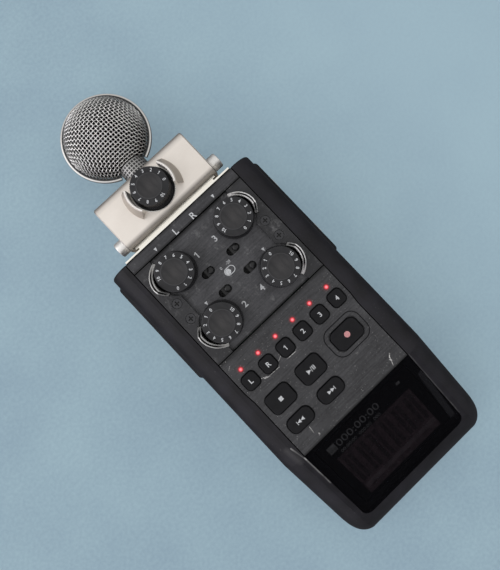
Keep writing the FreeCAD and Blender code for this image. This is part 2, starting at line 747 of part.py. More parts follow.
def end_ramp(angle, lean, way, reach):
    """What is taken off a rail's end so that it comes down to the panel at a lean."""
    rise = GUARD_TOP - PANEL_HEIGHT
    run = rise / math.tan(math.radians(lean))
    ramp = polygon([
        (0, 0, PANEL_HEIGHT), (0, -way * run, GUARD_TOP), (0, -way * run, GUARD_TOP + rise),
        (0, way * rise, GUARD_TOP + rise), (0, way * rise, PANEL_HEIGHT),
    ]).extrude(Vector(2 * reach, 0, 0))
    ramp.rotate(Vector(0, 0, 0), Z_AXIS, angle)
    return ramp


def guards(grow=0.0, bottom=PLATE_BOTTOM):
    """The four guard rails, or with grow the slots that take them."""
    rails = []
    for x, y in knob_centres():
        rails.append(guard(x, y, math.copysign(1, x), math.copysign(1, y - KNOB_MID_Y), grow, bottom))
    return rails


def row_places(count, pitch):
    """Evenly spaced places about the middle."""
    return [(number - (count - 1) / 2) * pitch for number in range(count)]


def track_columns():
    """Places across the body of the track buttons and their lights."""
    return row_places(len(TRACK_NAMES), TRACK_PITCH)


def key_outlines():
    """Every key: name, centre, width, height and corner."""
    keys = []
    for name, x in zip(TRACK_NAMES, track_columns()):
        keys.append(("track_button_" + name, x, TRACK_Y, TRACK_KEY, TRACK_KEY, TRACK_CORNER))
    wide, tall, skip = PLAY_KEY_WIDTH, PLAY_KEY_HEIGHT, SKIP_KEY_HEIGHT
    keys.append(("stop_button", LEFT_COLUMN_X, UPPER_ROW_Y, wide, tall, PLAY_KEY_CORNER))
    keys.append(("play_button", MIDDLE_COLUMN_X, UPPER_ROW_Y, wide, tall, PLAY_KEY_CORNER))
    keys.append(("rewind_button", LEFT_COLUMN_X, LOWER_ROW_Y, wide, skip, SKIP_KEY_CORNER))
    keys.append(("forward_button", MIDDLE_COLUMN_X, LOWER_ROW_Y, wide, skip, SKIP_KEY_CORNER))
    keys.append(("record_button", RECORD_X, UPPER_ROW_Y, RECORD_KEY_WIDTH, RECORD_KEY_HEIGHT,
                 RECORD_KEY_CORNER))
    return keys


def led_centres():
    """The track lights above the track buttons."""
    return [(x, LED_Y) for x in track_columns()]


def post_centres():
    """The posts under the front ledge that the circuit board is held to."""
    rows = (board_start() + 2 * POST_RADIUS, GAIN_PANEL_BOTTOM_Y, KNOB_MID_Y)
    return [(side * POST_X, y) for side in (-1, 1) for y in rows]


def board_start():
    """The board's end by the screen."""
    return SCREEN_TOP_Y + BOARD_END_GAP


def side_control_cuts():
    """Holes in the side walls for the wheels, the sockets, the menu button and the power switch."""
    wall = (INNER_HALF - SHELL_WALL, HALF_WIDTH + SHELL_WALL)
    reach = math.sqrt(WHEEL_RADIUS ** 2 - (INNER_HALF - wheel_centre_x()) ** 2) + SLOT_GAP
    half = WHEEL_THICKNESS / 2 + SLOT_GAP
    nub = POWER_NUB_HEIGHT / 2 + SLOT_GAP
    cuts = [
        wall_slot(1, SCROLL_Y, reach, CONTROL_HEIGHT, half),
        wall_slot(-1, VOLUME_Y, reach, CONTROL_HEIGHT, half),
        wall_slot(-1, POWER_Y, power_slot_half(), CONTROL_HEIGHT, nub),
        wall_slot(-1, USB_Y, USB_WIDTH / 2 + SLOT_GAP, usb_height(), USB_HEIGHT / 2 + SLOT_GAP),
        rod(MENU_RADIUS + SLOT_GAP, (wall[0], MENU_Y, CONTROL_HEIGHT), X_AXIS, wall[1] - wall[0]),
    ]
    for y in (LINE_OUT_Y, PHONES_Y):
        cuts.append(rod(SOCKET_NOSE + NOSE_GAP, (-wall[1], y, CONTROL_HEIGHT), X_AXIS, wall[1] - wall[0]))
    return cuts


def wall_slot(side, y, half_length, z, half_height):
    """A four-cornered hole through one of the side walls."""
    near = INNER_HALF - SHELL_WALL
    far = HALF_WIDTH + SHELL_WALL
    slot = box(near, far, y - half_length, y + half_length, z - half_height, z + half_height)
    return slot if side > 0 else mirrored(slot)


def power_slot_half():
    """Half the length of the power switch's slot: its nub at both ends of its travel."""
    return POWER_NUB_LENGTH / 2 + POWER_TRAVEL + SLOT_GAP


def usb_height():
    """The USB socket sits lower than the others, under the falling shoulder of the body."""
    return CONTROL_HEIGHT - USB_DROP


def card_hinge():
    """The axis of the card flap: half a flap's thickness in from the side and the lower edge."""
    half = CARD_FLAP_THICKNESS / 2
    return (HALF_WIDTH - half, CARD_FLAP_BOTTOM + half)


def card_cuts():
    """The flap's recess in the right-hand wall, the card slot in it, and the hinge pin holes."""
    gap = CARD_FLAP_GAP
    y0 = CARD_Y - CARD_FLAP_LENGTH / 2 - gap
    y1 = CARD_Y + CARD_FLAP_LENGTH / 2 + gap
    x, z = card_hinge()
    inner = HALF_WIDTH - CARD_FLAP_THICKNESS - gap
    recess = box(inner, HALF_WIDTH + OVER, y0, y1, CARD_FLAP_BOTTOM - gap, CARD_FLAP_TOP + gap)
    slot = wall_slot(1, CARD_Y, CARD_SLOT_LENGTH / 2, CARD_SLOT_Z, CARD_SLOT_HEIGHT / 2)
    hole = CARD_HINGE_PIN + CARD_HINGE_CLEARANCE
    reach = CARD_HINGE_PIN_LENGTH + gap
    pins = rod(hole, (x, y0 - reach, z), Y_AXIS, y1 - y0 + 2 * reach)
    return [recess, slot, pins]


def plug_opening(grow, y0, y1):
    """The space of the capsule's plug in the body's end."""
    half = PLUG_WIDTH / 2 + grow
    return box(-half, half, y0, y1, PLUG_BOTTOM - grow, PLUG_TOP + grow)


def input_panel_blank(side, grow, thickness, face):
    """The outline of an input panel as a slab whose outer face is at a distance from the middle."""
    middle = (INPUT_PANEL_BOTTOM + INPUT_PANEL_TOP) / 2
    height = INPUT_PANEL_TOP - INPUT_PANEL_BOTTOM + 2 * grow
    length = INPUT_PANEL_LENGTH + 2 * grow
    slab = rounded_plate(0, 0, height, length, INPUT_PANEL_CORNER + grow, 0, thickness)
    slab.rotate(Vector(0, 0, 0), Y_AXIS, QUARTER_TURN)
    slab.translate(Vector(face - thickness, INPUT_PANEL_CENTRE_Y, middle))
    return slab if side > 0 else mirrored(slab)


def make_covers(pieces):
    """The two halves of the body shell, black moulded plastic."""
    outside = body_outside()
    inside = body_inside()
    shell = outside.cut(inside)
    openings = [plug_opening(PLUG_GAP, BODY_LENGTH - 2 * SHELL_WALL, BODY_LENGTH + OVER)]
    for side in (-1, 1):
        openings.append(input_panel_blank(side, PLATE_GAP, INPUT_OPENING_DEPTH, HALF_WIDTH + SHELL_WALL))
    for opening in openings:
        shell = shell.cut(opening)
    upper = box(-FAR, FAR, -FAR, FAR, SPLIT_HEIGHT, FAR)

    front = shell.common(upper)
    pocket = front_plate(SCREEN_TOP_Y, BODY_LENGTH + OVER, PLATE_GAP, PLATE_BOTTOM, PANEL_HEIGHT + OVER)
    window_start = SCREEN_TOP_Y + LEDGE_WIDTH
    window_end = BODY_LENGTH - SHELL_WALL - END_LEDGE
    window = front_plate(window_start, window_end, -LEDGE_WIDTH, CAVITY_TOP - OVER, PANEL_HEIGHT)
    front = front.cut(pocket).cut(window)
    front = front.cut(lens_blank(PLATE_GAP, LENS_THICKNESS + GLUE_GAP, OVER))
    front = front.cut(module_blank(MODULE_GAP, 2 * FRONT_WALL))
    for cut in side_control_cuts() + card_cuts():
        front = front.cut(cut)
    for x, y in post_centres():
        front = front.fuse(rod(POST_RADIUS, (x, y, BOARD_TOP), Z_AXIS, CAVITY_TOP - BOARD_TOP + ROOT))
    for x, y, height in case_bosses():
        front = front.fuse(rod(CASE_POST, (x, y, CASE_POST_TOP + SCREW_GAP), Z_AXIS,
                               height - CASE_POST_TOP - SCREW_GAP))
        front = front.cut(rod(CASE_SCREW_SHANK + THREAD_GAP, (x, y, 0), Z_AXIS,
                              CASE_SCREW_SINK + CASE_SCREW_LENGTH + SCREW_GAP))
    pieces["front_cover"] = front.removeSplitter()

    rear = shell.cut(upper)
    door_half = DOOR_WIDTH / 2 + DOOR_GAP
    door_start, door_end = door_ends()
    rear = rear.cut(box(-door_half, door_half, door_start - DOOR_GAP, door_end + DOOR_GAP,
                        -OVER, BACK_WALL + OVER))
    hole = DOOR_PIN_RADIUS + DOOR_PIN_CLEARANCE
    reach = DOOR_WIDTH / 2 + DOOR_PIN_LENGTH + DOOR_PIN_END_GAP
    edge = DOOR_THICKNESS / 2
    rear = rear.cut(rod(hole, (-reach, door_start + edge, edge), X_AXIS, 2 * reach))
    rear = rear.cut(rod(TRIPOD_BUSH_RADIUS + TRIPOD_BUSH_GAP, (0, TRIPOD_Y, -OVER), Z_AXIS, FAR))
    for step in row_places(GRILLE_SLOTS, GRILLE_PITCH):
        slot = round_slot(0, GRILLE_Y + step, GRILLE_SLOT_LENGTH, GRILLE_SLOT_WIDTH, -OVER, BACK_WALL + OVER)
        rear = rear.cut(slot)
    for y0, y1 in bay_ribs():
        rear = rear.fuse(box(-INNER_HALF - ROOT, INNER_HALF + ROOT, y0, y1, DOOR_THICKNESS + DOOR_GAP,
                             SPLIT_HEIGHT - SLOT_GAP))
    for x, y in case_screw_centres():
        rear = rear.fuse(rod(CASE_POST, (x, y, BACK_WALL - ROOT), Z_AXIS, CASE_POST_TOP - BACK_WALL + ROOT))
        rear = rear.cut(rod(CASE_SCREW_SHANK + SCREW_GAP, (x, y, -OVER), Z_AXIS, FAR))
        sink = CASE_SCREW_SINK + CASE_SCREW_HEAD_THICKNESS
        rear = rear.cut(rod(CASE_SCREW_HEAD + SCREW_GAP, (x, y, -OVER), Z_AXIS, OVER + sink))
    for x, y in ((wheel_centre_x(), SCROLL_Y), (-wheel_centre_x(), VOLUME_Y)):
        seat = CONTROL_HEIGHT - WHEEL_THICKNESS / 2 - WHEEL_GAP
        axle_top = CONTROL_HEIGHT + WHEEL_THICKNESS / 2 + WHEEL_GAP
        foot = BACK_WALL - ROOT
        rear = rear.fuse(rod(AXLE_RADIUS + AXLE_COLLAR, (x, y, foot), Z_AXIS, seat - foot))
        rear = rear.fuse(rod(AXLE_RADIUS, (x, y, foot), Z_AXIS, axle_top - foot))
    pieces["rear_cover"] = rear.removeSplitter()


def wheel_centre_x():
    """Distance of a thumb wheel's axle from the middle plane."""
    return HALF_WIDTH + WHEEL_PROUD - WHEEL_RADIUS


def lens_blank(grow, depth, above):
    """The screen lens's space: square at the control panel, round at the screen end."""
    width = LOWER_PLATE_WIDTH + 2 * grow
    length = LENS_LENGTH + grow
    blank = box(-width / 2, width / 2, SCREEN_TOP_Y - length, SCREEN_TOP_Y + LENS_THICKNESS,
                PANEL_HEIGHT - depth, PANEL_HEIGHT + above)
    corners = []
    for edge in blank.Edges:
        upright = edge.BoundBox.XLength < SAME and edge.BoundBox.YLength < SAME
        if upright and abs(edge.BoundBox.YMax - (SCREEN_TOP_Y - length)) < SAME:
            corners.append(edge)
    blank = tilted(blank.makeFillet(LENS_CORNER, corners))
    limit = SCREEN_TOP_Y if grow > 0 else SCREEN_TOP_Y - PLATE_GAP
    return blank.cut(box(-FAR, FAR, limit, FAR, -FAR, FAR))


def module_blank(grow, depth):
    """The display module's space behind the lens, inside the lens's ledge."""
    half = LOWER_PLATE_WIDTH / 2 - LENS_LEDGE + grow
    top = PANEL_HEIGHT - LENS_THICKNESS - GLUE_GAP
    y0 = SCREEN_TOP_Y - LENS_LENGTH + LENS_LEDGE - grow
    y1 = SCREEN_TOP_Y - LENS_LEDGE + grow
    return tilted(box(-half, half, y0, y1, top - depth, top))


def make_screen(pieces):
    """The glossy lens and the display module glued behind it."""
    pieces["display_lens"] = lens_blank(0, LENS_THICKNESS, 0)
    pieces["display_module"] = module_blank(0, MODULE_THICKNESS)


def make_control_panel(pieces):
    """The lower front plate with the key openings, the track lights' holes and the record ring."""
    plate = front_plate(SCREEN_TOP_Y + PLATE_GAP, GAIN_PANEL_BOTTOM_Y - PLATE_GAP, -PLATE_GAP,
                        PLATE_BOTTOM, PANEL_HEIGHT)
    for _, x, y, width, height, corner in key_outlines():
        plate = plate.cut(rounded_plate(x, y, width + 2 * KEY_GAP, height + 2 * KEY_GAP, corner + KEY_GAP,
                                        PLATE_BOTTOM - OVER, PANEL_HEIGHT + OVER))
    for x, y in led_centres():
        plate = plate.cut(rod(LED_RADIUS + LED_GAP, (x, y, PLATE_BOTTOM - OVER), Z_AXIS, FAR))
    floor = PANEL_HEIGHT - RECORD_GROOVE_DEPTH
    groove = rounded_plate(RECORD_X, UPPER_ROW_Y, RECORD_RING_WIDTH, RECORD_RING_HEIGHT, RECORD_RING_CORNER,
                           floor, PANEL_HEIGHT + OVER)
    ring = rounded_plate(RECORD_X, UPPER_ROW_Y, RECORD_RING_WIDTH - 2 * RECORD_GROOVE,
                         RECORD_RING_HEIGHT - 2 * RECORD_GROOVE, RECORD_RING_CORNER - RECORD_GROOVE,
                         floor - OVER, PANEL_HEIGHT + 2 * OVER)
    pieces["control_panel"] = plate.cut(groove.cut(ring))


def make_gain_panel(pieces):
    """The upper front plate: a recess round the knobs between two islands with screws."""
    plate = front_plate(GAIN_PANEL_BOTTOM_Y + PLATE_GAP, GAIN_PANEL_TOP_Y - PLATE_GAP, -PLATE_GAP,
                        PLATE_BOTTOM, PANEL_HEIGHT)
    half = RECESS_WIDTH / 2
    plate = plate.cut(box(-half, half, GAIN_PANEL_BOTTOM_Y - OVER, GAIN_PANEL_TOP_Y + OVER,
                          RECESS_FLOOR, PANEL_HEIGHT + OVER))
    for x, y in knob_centres():
        plate = plate.cut(rod(RECESS_RING, (x, y, RECESS_FLOOR), Z_AXIS, FAR))
        plate = plate.cut(rod(BUSH_RADIUS + BUSH_GAP, (x, y, PLATE_BOTTOM - OVER), Z_AXIS, FAR))
    for slot in guards(GUARD_FIT, PLATE_BOTTOM - OVER):
        plate = plate.cut(slot)
    for x, y in pad_centres():
        plate = plate.cut(round_slot(x, y, PAD_SLOT_LENGTH, PAD_SLOT_WIDTH,
                                     PLATE_BOTTOM - OVER, RECESS_FLOOR + OVER))
    for x, y in panel_screw_centres():
        sink = PANEL_SCREW_SINK + PANEL_SCREW_HEAD_THICKNESS
        plate = plate.cut(rod(PANEL_SCREW_HEAD + SCREW_GAP, (x, y, PANEL_HEIGHT - sink), Z_AXIS, FAR))
        plate = plate.cut(rod(PANEL_SCREW_SHANK + SCREW_GAP, (x, y, PLATE_BOTTOM - OVER), Z_AXIS, FAR))
    pieces["gain_panel"] = plate


def make_top_bar(pieces):
    """The short plate between the gain panel and the capsule end, level with the rails."""
    bar = front_plate(GAIN_PANEL_TOP_Y + PLATE_GAP, BODY_LENGTH, -PLATE_GAP, PLATE_BOTTOM, PANEL_HEIGHT)
    rim = [edge for edge in edges_at(bar, "Y", BODY_LENGTH) if edge.BoundBox.ZMin > PANEL_HEIGHT - SAME]
    pieces["top_bar"] = bar.makeFillet(END_EDGE_RADIUS, rim)


def make_guard_rails(pieces):
    """Four polished rails that stand higher than the knobs and take the knocks."""
    pieces["guard_rails"] = guards()


def knob(base):
    """A gain knob about the Z axis: a skirt, a tapering grip, a sloping number ring and a dished cap."""
    top = base + KNOB_HEIGHT
    foot = KNOB_RADIUS + KNOB_SKIRT
    rim = KNOB_RADIUS - KNOB_TAPER
    solid = polygon([
        (0, 0, base), (foot, 0, base), (foot, 0, base + KNOB_SKIRT_HEIGHT - KNOB_SKIRT),
        (KNOB_RADIUS, 0, base + KNOB_SKIRT_HEIGHT), (rim, 0, top - KNOB_RING_DROP - KNOB_TAPER),
        (rim - KNOB_TAPER, 0, top - KNOB_RING_DROP), (KNOB_CAP_RADIUS, 0, top), (0, 0, top),
    ]).revolve(Vector(0, 0, 0), Z_AXIS, FULL_TURN)
    dish = (KNOB_CAP_RADIUS ** 2 + KNOB_CAP_DISH ** 2) / (2 * KNOB_CAP_DISH)
    solid = solid.cut(Part.makeSphere(dish, Vector(0, 0, top - KNOB_CAP_DISH + dish)))
    return solid.cut(rod(SHAFT_RADIUS, (0, 0, base), Z_AXIS, KNOB_BORE_DEPTH))


def pot(top, height, bush_top):
    """A potentiometer about the Z axis: its square case, and the bush that its shaft turns in."""
    case = box(-POT_SIZE / 2, POT_SIZE / 2, -POT_SIZE / 2, POT_SIZE / 2, top - height, top)
    bush = rod(BUSH_RADIUS, (0, 0, top - ROOT), Z_AXIS, bush_top - top + ROOT)
    bore = rod(SHAFT_RADIUS + SHAFT_CLEARANCE, (0, 0, top - height / 2), Z_AXIS, FAR)
    return case.fuse(bush).cut(bore)


def knob_and_shaft(x, y, base, shaft_bottom):
    """A knob with the potentiometer shaft that it is pushed on to."""
    shaft = rod(SHAFT_RADIUS, (0, 0, shaft_bottom), Z_AXIS, base + KNOB_BORE_DEPTH - shaft_bottom)
    solids = [knob(base), shaft]
    for solid in solids:
        solid.translate(Vector(x, y, 0))
    return solids


def make_gain_controls(pieces):
    """The four gain knobs with their shafts, and the potentiometers on the board."""
    height = UNDER_PLATE - BOARD_TOP
    pots = []
    for number, (x, y) in enumerate(knob_centres()):
        body = pot(UNDER_PLATE, height, RECESS_FLOOR + KNOB_FLOOR_GAP / 2)
        body.translate(Vector(x, y, 0))
        pots.append(body)
        base = RECESS_FLOOR + KNOB_FLOOR_GAP
        shaft_bottom = UNDER_PLATE - height / 2 + SHAFT_END_GAP
        pieces["gain_knob_" + str(number + 1)] = knob_and_shaft(x, y, base, shaft_bottom)
    pieces["gain_pots"] = pots


def make_pad_switches(pieces):
    """Four sliding pad switches, each at the right-hand end of its slot."""
    travel = PAD_SLOT_LENGTH - PAD_SLOT_WIDTH
    for number, (x, y) in enumerate(pad_centres()):
        nub_x = x + travel / 2
        low = UNDER_PLATE - PAD_BASE_THICKNESS
        nub = rod(PAD_NUB_RADIUS, (nub_x, y, low), Z_AXIS, RECESS_FLOOR + PAD_PROUD - low)
        base = box(nub_x - PAD_BASE_LENGTH / 2, nub_x + PAD_BASE_LENGTH / 2,
                   y - PAD_BASE_WIDTH / 2, y + PAD_BASE_WIDTH / 2, low, UNDER_PLATE)
        pieces["pad_switch_" + str(number + 1)] = nub.fuse(base).removeSplitter()


def make_keys(pieces):
    """The rubber keys: a cap in its opening and a flange under the panel."""
    for name, x, y, width, height, corner in key_outlines():
        cap = rounded_plate(x, y, width, height, corner, KEY_BOTTOM, PANEL_HEIGHT + KEY_PROUD)
        cap = cap.makeFillet(KEY_EDGE, edges_at(cap, "Z", PANEL_HEIGHT + KEY_PROUD))
        flange = rounded_plate(x, y, width + 2 * KEY_FLANGE, height + 2 * KEY_FLANGE, corner + KEY_FLANGE,
                               KEY_BOTTOM, UNDER_PLATE)
        pieces[name] = cap.fuse(flange).removeSplitter()


def make_board(pieces):
    """The circuit board with its standoffs and key switches, the card socket and the speaker."""
    end = BODY_LENGTH - SHELL_WALL - BOARD_END_GAP
    half = BOARD_WIDTH / 2
    board = box(-half, half, board_start(), end, BOARD_BOTTOM, BOARD_TOP)
    for x, y in case_screw_centres():
        board = board.cut(rod(CASE_POST + SLOT_GAP, (x, y, 0), Z_AXIS, FAR))
    solids = [board]
    for x, y in panel_screw_centres():
        height = PLATE_BOTTOM - BOARD_TOP
        standoff = rod(PANEL_SCREW_SHANK + STANDOFF_WALL, (x, y, BOARD_TOP), Z_AXIS, height)
        solids.append(standoff.cut(rod(PANEL_SCREW_SHANK + THREAD_GAP, (x, y, BOARD_TOP), Z_AXIS, height)))
    half = SWITCH_SIZE / 2
    for _, x, y, _, _, _ in key_outlines():
        solids.append(box(x - half, x + half, y - half, y + half, BOARD_TOP, SWITCH_TOP))
    z = CARD_SLOT_Z
    back = INNER_HALF - CARD_SOCKET_DEPTH
    length = CARD_SLOT_LENGTH / 2
    height = CARD_SLOT_HEIGHT / 2
    wall = CARD_SOCKET_WALL
    outer = box(back, INNER_HALF - SLOT_GAP, CARD_Y - length - wall, CARD_Y + length + wall,
                z - height - wall, z + height + wall)
    inner = box(back + wall, INNER_HALF, CARD_Y - length, CARD_Y + length, z - height, z + height)
    solids.append(outer.cut(inner))
    solids.append(rod(SPEAKER_RADIUS, (0, GRILLE_Y, BACK_WALL), Z_AXIS, SPEAKER_HEIGHT))
    pieces["main_board"] = solids


def make_leds(pieces):
    """Six track lights, standing on the board and ending level with the panel."""
    lights = []
    for x, y in led_centres():
        lights.append(rod(LED_RADIUS, (x, y, BOARD_TOP), Z_AXIS, PANEL_HEIGHT + LED_PROUD - BOARD_TOP))
    pieces["track_leds"] = lights


def make_input_side(pieces):
    """The two side panels and the four combination jacks in them with their release tabs."""
    face = HALF_WIDTH + INPUT_PANEL_PROUD
    panels = {}
    for side in (-1, 1):
        blank = input_panel_blank(1, 0, INPUT_PANEL_THICKNESS, face)
        blank = blank.makeChamfer(INPUT_PANEL_BEVEL, edges_at(blank, "X", face))
        panels[side] = blank if side > 0 else mirrored(blank)
    inner = SHELL_GROOVE_RADIUS - SHELL_GROOVE_WIDTH
    mouth = face - JACK_RECESS
    latch_low = SHELL_GROOVE_RADIUS + LATCH_LIFT
    half = LATCH_WIDTH / 2
    for number, (side, y) in enumerate(jack_centres()):
        hole = rod(JACK_RADIUS + JACK_GAP, (0, y, JACK_HEIGHT), X_AXIS, FAR)
        panels[side] = panels[side].cut(hole if side > 0 else mirrored(hole))
        jack = rod(JACK_RADIUS, (mouth - JACK_LENGTH, y, JACK_HEIGHT), X_AXIS, JACK_LENGTH)
        groove = rod(SHELL_GROOVE_RADIUS, (mouth - SHELL_GROOVE_DEPTH, y, JACK_HEIGHT), X_AXIS, FAR)
        groove = groove.cut(rod(inner, (0, y, JACK_HEIGHT), X_AXIS, 2 * FAR))
        jack = jack.cut(groove)
        jack = jack.cut(rod(TIP_BORE_RADIUS, (mouth - TIP_BORE_LENGTH, y, JACK_HEIGHT), X_AXIS, FAR))
        for turn in PIN_HOLE_TURNS:
            pin_y = y + PIN_HOLE_CIRCLE * math.cos(math.radians(turn))
            pin_z = JACK_HEIGHT - PIN_HOLE_CIRCLE * math.sin(math.radians(turn))
            jack = jack.cut(rod(PIN_HOLE_RADIUS, (mouth - PIN_HOLE_DEPTH, pin_y, pin_z), X_AXIS, FAR))
        notch = box(mouth - LATCH_LENGTH - LATCH_TRAVEL - LATCH_GAP, FAR, y - half - LATCH_GAP,
                    y + half + LATCH_GAP, JACK_HEIGHT + latch_low - LATCH_GAP, FAR)
        jack = jack.cut(notch)
        latch = box(mouth - LATCH_LENGTH, mouth + LATCH_PROUD, y - half, y + half,
                    JACK_HEIGHT + latch_low, JACK_HEIGHT + latch_low + LATCH_THICKNESS)
        if side < 0:
            jack = mirrored(jack)
            latch = mirrored(latch)
        pieces["combo_jack_" + str(number + 1)] = jack
        pieces["jack_latch_" + str(number + 1)] = latch
    pieces["input_panels"] = [panels[-1], panels[1]]


def make_side_controls(pieces):
    """The thumb wheels, the menu button, the power switch, the small sockets and the card flap."""
    for name, side, y in (("volume_wheel", -1, VOLUME_Y), ("scroll_wheel", 1, SCROLL_Y)):
        bottom = CONTROL_HEIGHT - WHEEL_THICKNESS / 2
        wheel = rod(WHEEL_RADIUS, (side * wheel_centre_x(), y, bottom), Z_AXIS, WHEEL_THICKNESS)
        hole = rod(AXLE_RADIUS + AXLE_CLEARANCE, (side * wheel_centre_x(), y, 0), Z_AXIS, FAR)
        pieces[name] = wheel.cut(hole)
    low = INNER_HALF - SLOT_GAP - MENU_FLANGE_THICKNESS
    cap = rod(MENU_RADIUS, (low, MENU_Y, CONTROL_HEIGHT), X_AXIS, HALF_WIDTH + MENU_PROUD - low)
    flange = rod(MENU_RADIUS + MENU_FLANGE, (low, MENU_Y, CONTROL_HEIGHT), X_AXIS, MENU_FLANGE_THICKNESS)
    cap = cap.makeFillet(KEY_EDGE, edges_at(cap, "X", HALF_WIDTH + MENU_PROUD))
    pieces["menu_button"] = cap.fuse(flange).removeSplitter()
    inner = INNER_HALF - SLOT_GAP
    nub = box(-HALF_WIDTH - POWER_PROUD, -inner + POWER_PLATE, POWER_Y - POWER_NUB_LENGTH / 2,
              POWER_Y + POWER_NUB_LENGTH / 2, CONTROL_HEIGHT - POWER_NUB_HEIGHT / 2,
              CONTROL_HEIGHT + POWER_NUB_HEIGHT / 2)
    cover = power_slot_half() + POWER_TRAVEL
    base = box(-inner, -inner + POWER_PLATE, POWER_Y - cover, POWER_Y + cover,
               CONTROL_HEIGHT - POWER_NUB_HEIGHT, CONTROL_HEIGHT + POWER_NUB_HEIGHT)
    pieces["power_switch"] = nub.fuse(base).removeSplitter()
    sockets = []
    for y in (LINE_OUT_Y, PHONES_Y):
        back = -inner + SOCKET_LENGTH
        body = box(-inner, back, y - SOCKET_WIDTH / 2, y + SOCKET_WIDTH / 2,
                   CONTROL_HEIGHT - SOCKET_HEIGHT / 2, CONTROL_HEIGHT + SOCKET_HEIGHT / 2)
        nose = rod(SOCKET_NOSE, (-HALF_WIDTH + SOCKET_FLUSH, y, CONTROL_HEIGHT), X_AXIS, SHELL_WALL + ROOT)
        bore = rod(SOCKET_BORE, (-FAR, y, CONTROL_HEIGHT), X_AXIS, FAR + back - SOCKET_END_WALL)
        sockets.append(body.fuse(nose).removeSplitter().cut(bore))
    half = USB_WIDTH / 2
    low = usb_height() - USB_HEIGHT / 2
    high = usb_height() + USB_HEIGHT / 2
    mouth = -HALF_WIDTH + SOCKET_FLUSH
    back = mouth + USB_LENGTH
    case = box(mouth, back, USB_Y - half, USB_Y + half, low, high)
    case = case.cut(box(mouth - OVER, back - USB_TONGUE, USB_Y - half + USB_SHEET,
                        USB_Y + half - USB_SHEET, low + USB_SHEET, high - USB_SHEET))
    tongue = box(mouth + USB_TONGUE, back - USB_SHEET, USB_Y - half / 2, USB_Y + half / 2,
                 usb_height() - USB_TONGUE / 2, usb_height() + USB_TONGUE / 2)
    sockets.append(case.fuse(tongue).removeSplitter())
    pieces["side_sockets"] = sockets

    x, z = card_hinge()
    y0 = CARD_Y - CARD_FLAP_LENGTH / 2
    barrel = rod(CARD_FLAP_THICKNESS / 2, (x, y0, z), Y_AXIS, CARD_FLAP_LENGTH)
    leaf = box(HALF_WIDTH - CARD_FLAP_THICKNESS, HALF_WIDTH, y0, y0 + CARD_FLAP_LENGTH, z, CARD_FLAP_TOP)
    pins = rod(CARD_HINGE_PIN, (x, y0 - CARD_HINGE_PIN_LENGTH, z), Y_AXIS,
               CARD_FLAP_LENGTH + 2 * CARD_HINGE_PIN_LENGTH)
    pieces["card_cover"] = barrel.fuse(leaf).fuse(pins).removeSplitter()


def door_ends():
    """Both ends of the battery door, by its distance from the screen end."""
    return BAY_CENTRE_Y - DOOR_LENGTH / 2, BAY_CENTRE_Y + DOOR_LENGTH / 2


def make_battery_bay(pieces):
    """The battery door on its two hinge pins, the four cells behind it and their contacts."""
    start, end = door_ends()
    half = DOOR_WIDTH / 2
    edge = DOOR_THICKNESS / 2
    leaf = box(-half, half, start + edge, end, 0, DOOR_THICKNESS)
    roll = rod(edge, (-half, start + edge, edge), X_AXIS, DOOR_WIDTH)
    pins = rod(DOOR_PIN_RADIUS, (-half - DOOR_PIN_LENGTH, start + edge, edge), X_AXIS,
               DOOR_WIDTH + 2 * DOOR_PIN_LENGTH)
    pieces["battery_door"] = leaf.fuse(roll).fuse(pins).removeSplitter()
    cells = []
    contacts = []
    for number, x in enumerate(row_places(CELL_COUNT, CELL_PITCH)):
        z = DOOR_THICKNESS + CELL_LIFT + CELL_RADIUS
        foot = BAY_CENTRE_Y - (CELL_LENGTH + CELL_NUB_LENGTH) / 2
        cell = rod(CELL_RADIUS, (x, foot, z), Y_AXIS, CELL_LENGTH)
        cell = cell.fuse(rod(CELL_NUB_RADIUS, (x, foot, z), Y_AXIS, CELL_LENGTH + CELL_NUB_LENGTH))
        if number % 2:
            cell = cell.mirror(Vector(0, BAY_CENTRE_Y, 0), Y_AXIS)
        cells.append(cell)
        half_contact = CONTACT_SIZE / 2
        near, far = bay_ribs()
        for y0 in (near[1], far[0] - CONTACT_THICKNESS):
            contacts.append(box(x - half_contact, x + half_contact, y0, y0 + CONTACT_THICKNESS,
                                z - half_contact, z + half_contact))
    pieces["battery_cells"] = cells
    pieces["battery_contacts"] = contacts


def make_tripod_nut(pieces):
    """The threaded metal bush in the back, held by its flange inside."""
    bush = rod(TRIPOD_BUSH_RADIUS, (0, TRIPOD_Y, 0), Z_AXIS, TRIPOD_BUSH_HEIGHT)
    flange = rod(TRIPOD_FLANGE_RADIUS, (0, TRIPOD_Y, BACK_WALL), Z_AXIS, TRIPOD_FLANGE_THICKNESS)
    thread = rod(TRIPOD_THREAD_RADIUS, (0, TRIPOD_Y, 0), Z_AXIS, TRIPOD_THREAD_DEPTH)
    pieces["tripod_nut"] = bush.fuse(flange).cut(thread)


def cross_screw(head, thickness, shank, length):
    """A cross-head screw about the Z axis with its head's face at zero and its shank below."""
    screw = rod(head, (0, 0, -thickness), Z_AXIS, thickness)
    screw = screw.fuse(rod(shank, (0, 0, -length), Z_AXIS, length - CROSS_DEPTH))
    for long_x, long_y in ((CROSS_LENGTH, CROSS_WIDTH), (CROSS_WIDTH, CROSS_LENGTH)):
        screw = screw.cut(box(-long_x / 2, long_x / 2, -long_y / 2, long_y / 2, -CROSS_DEPTH, OVER))
    return screw.removeSplitter()


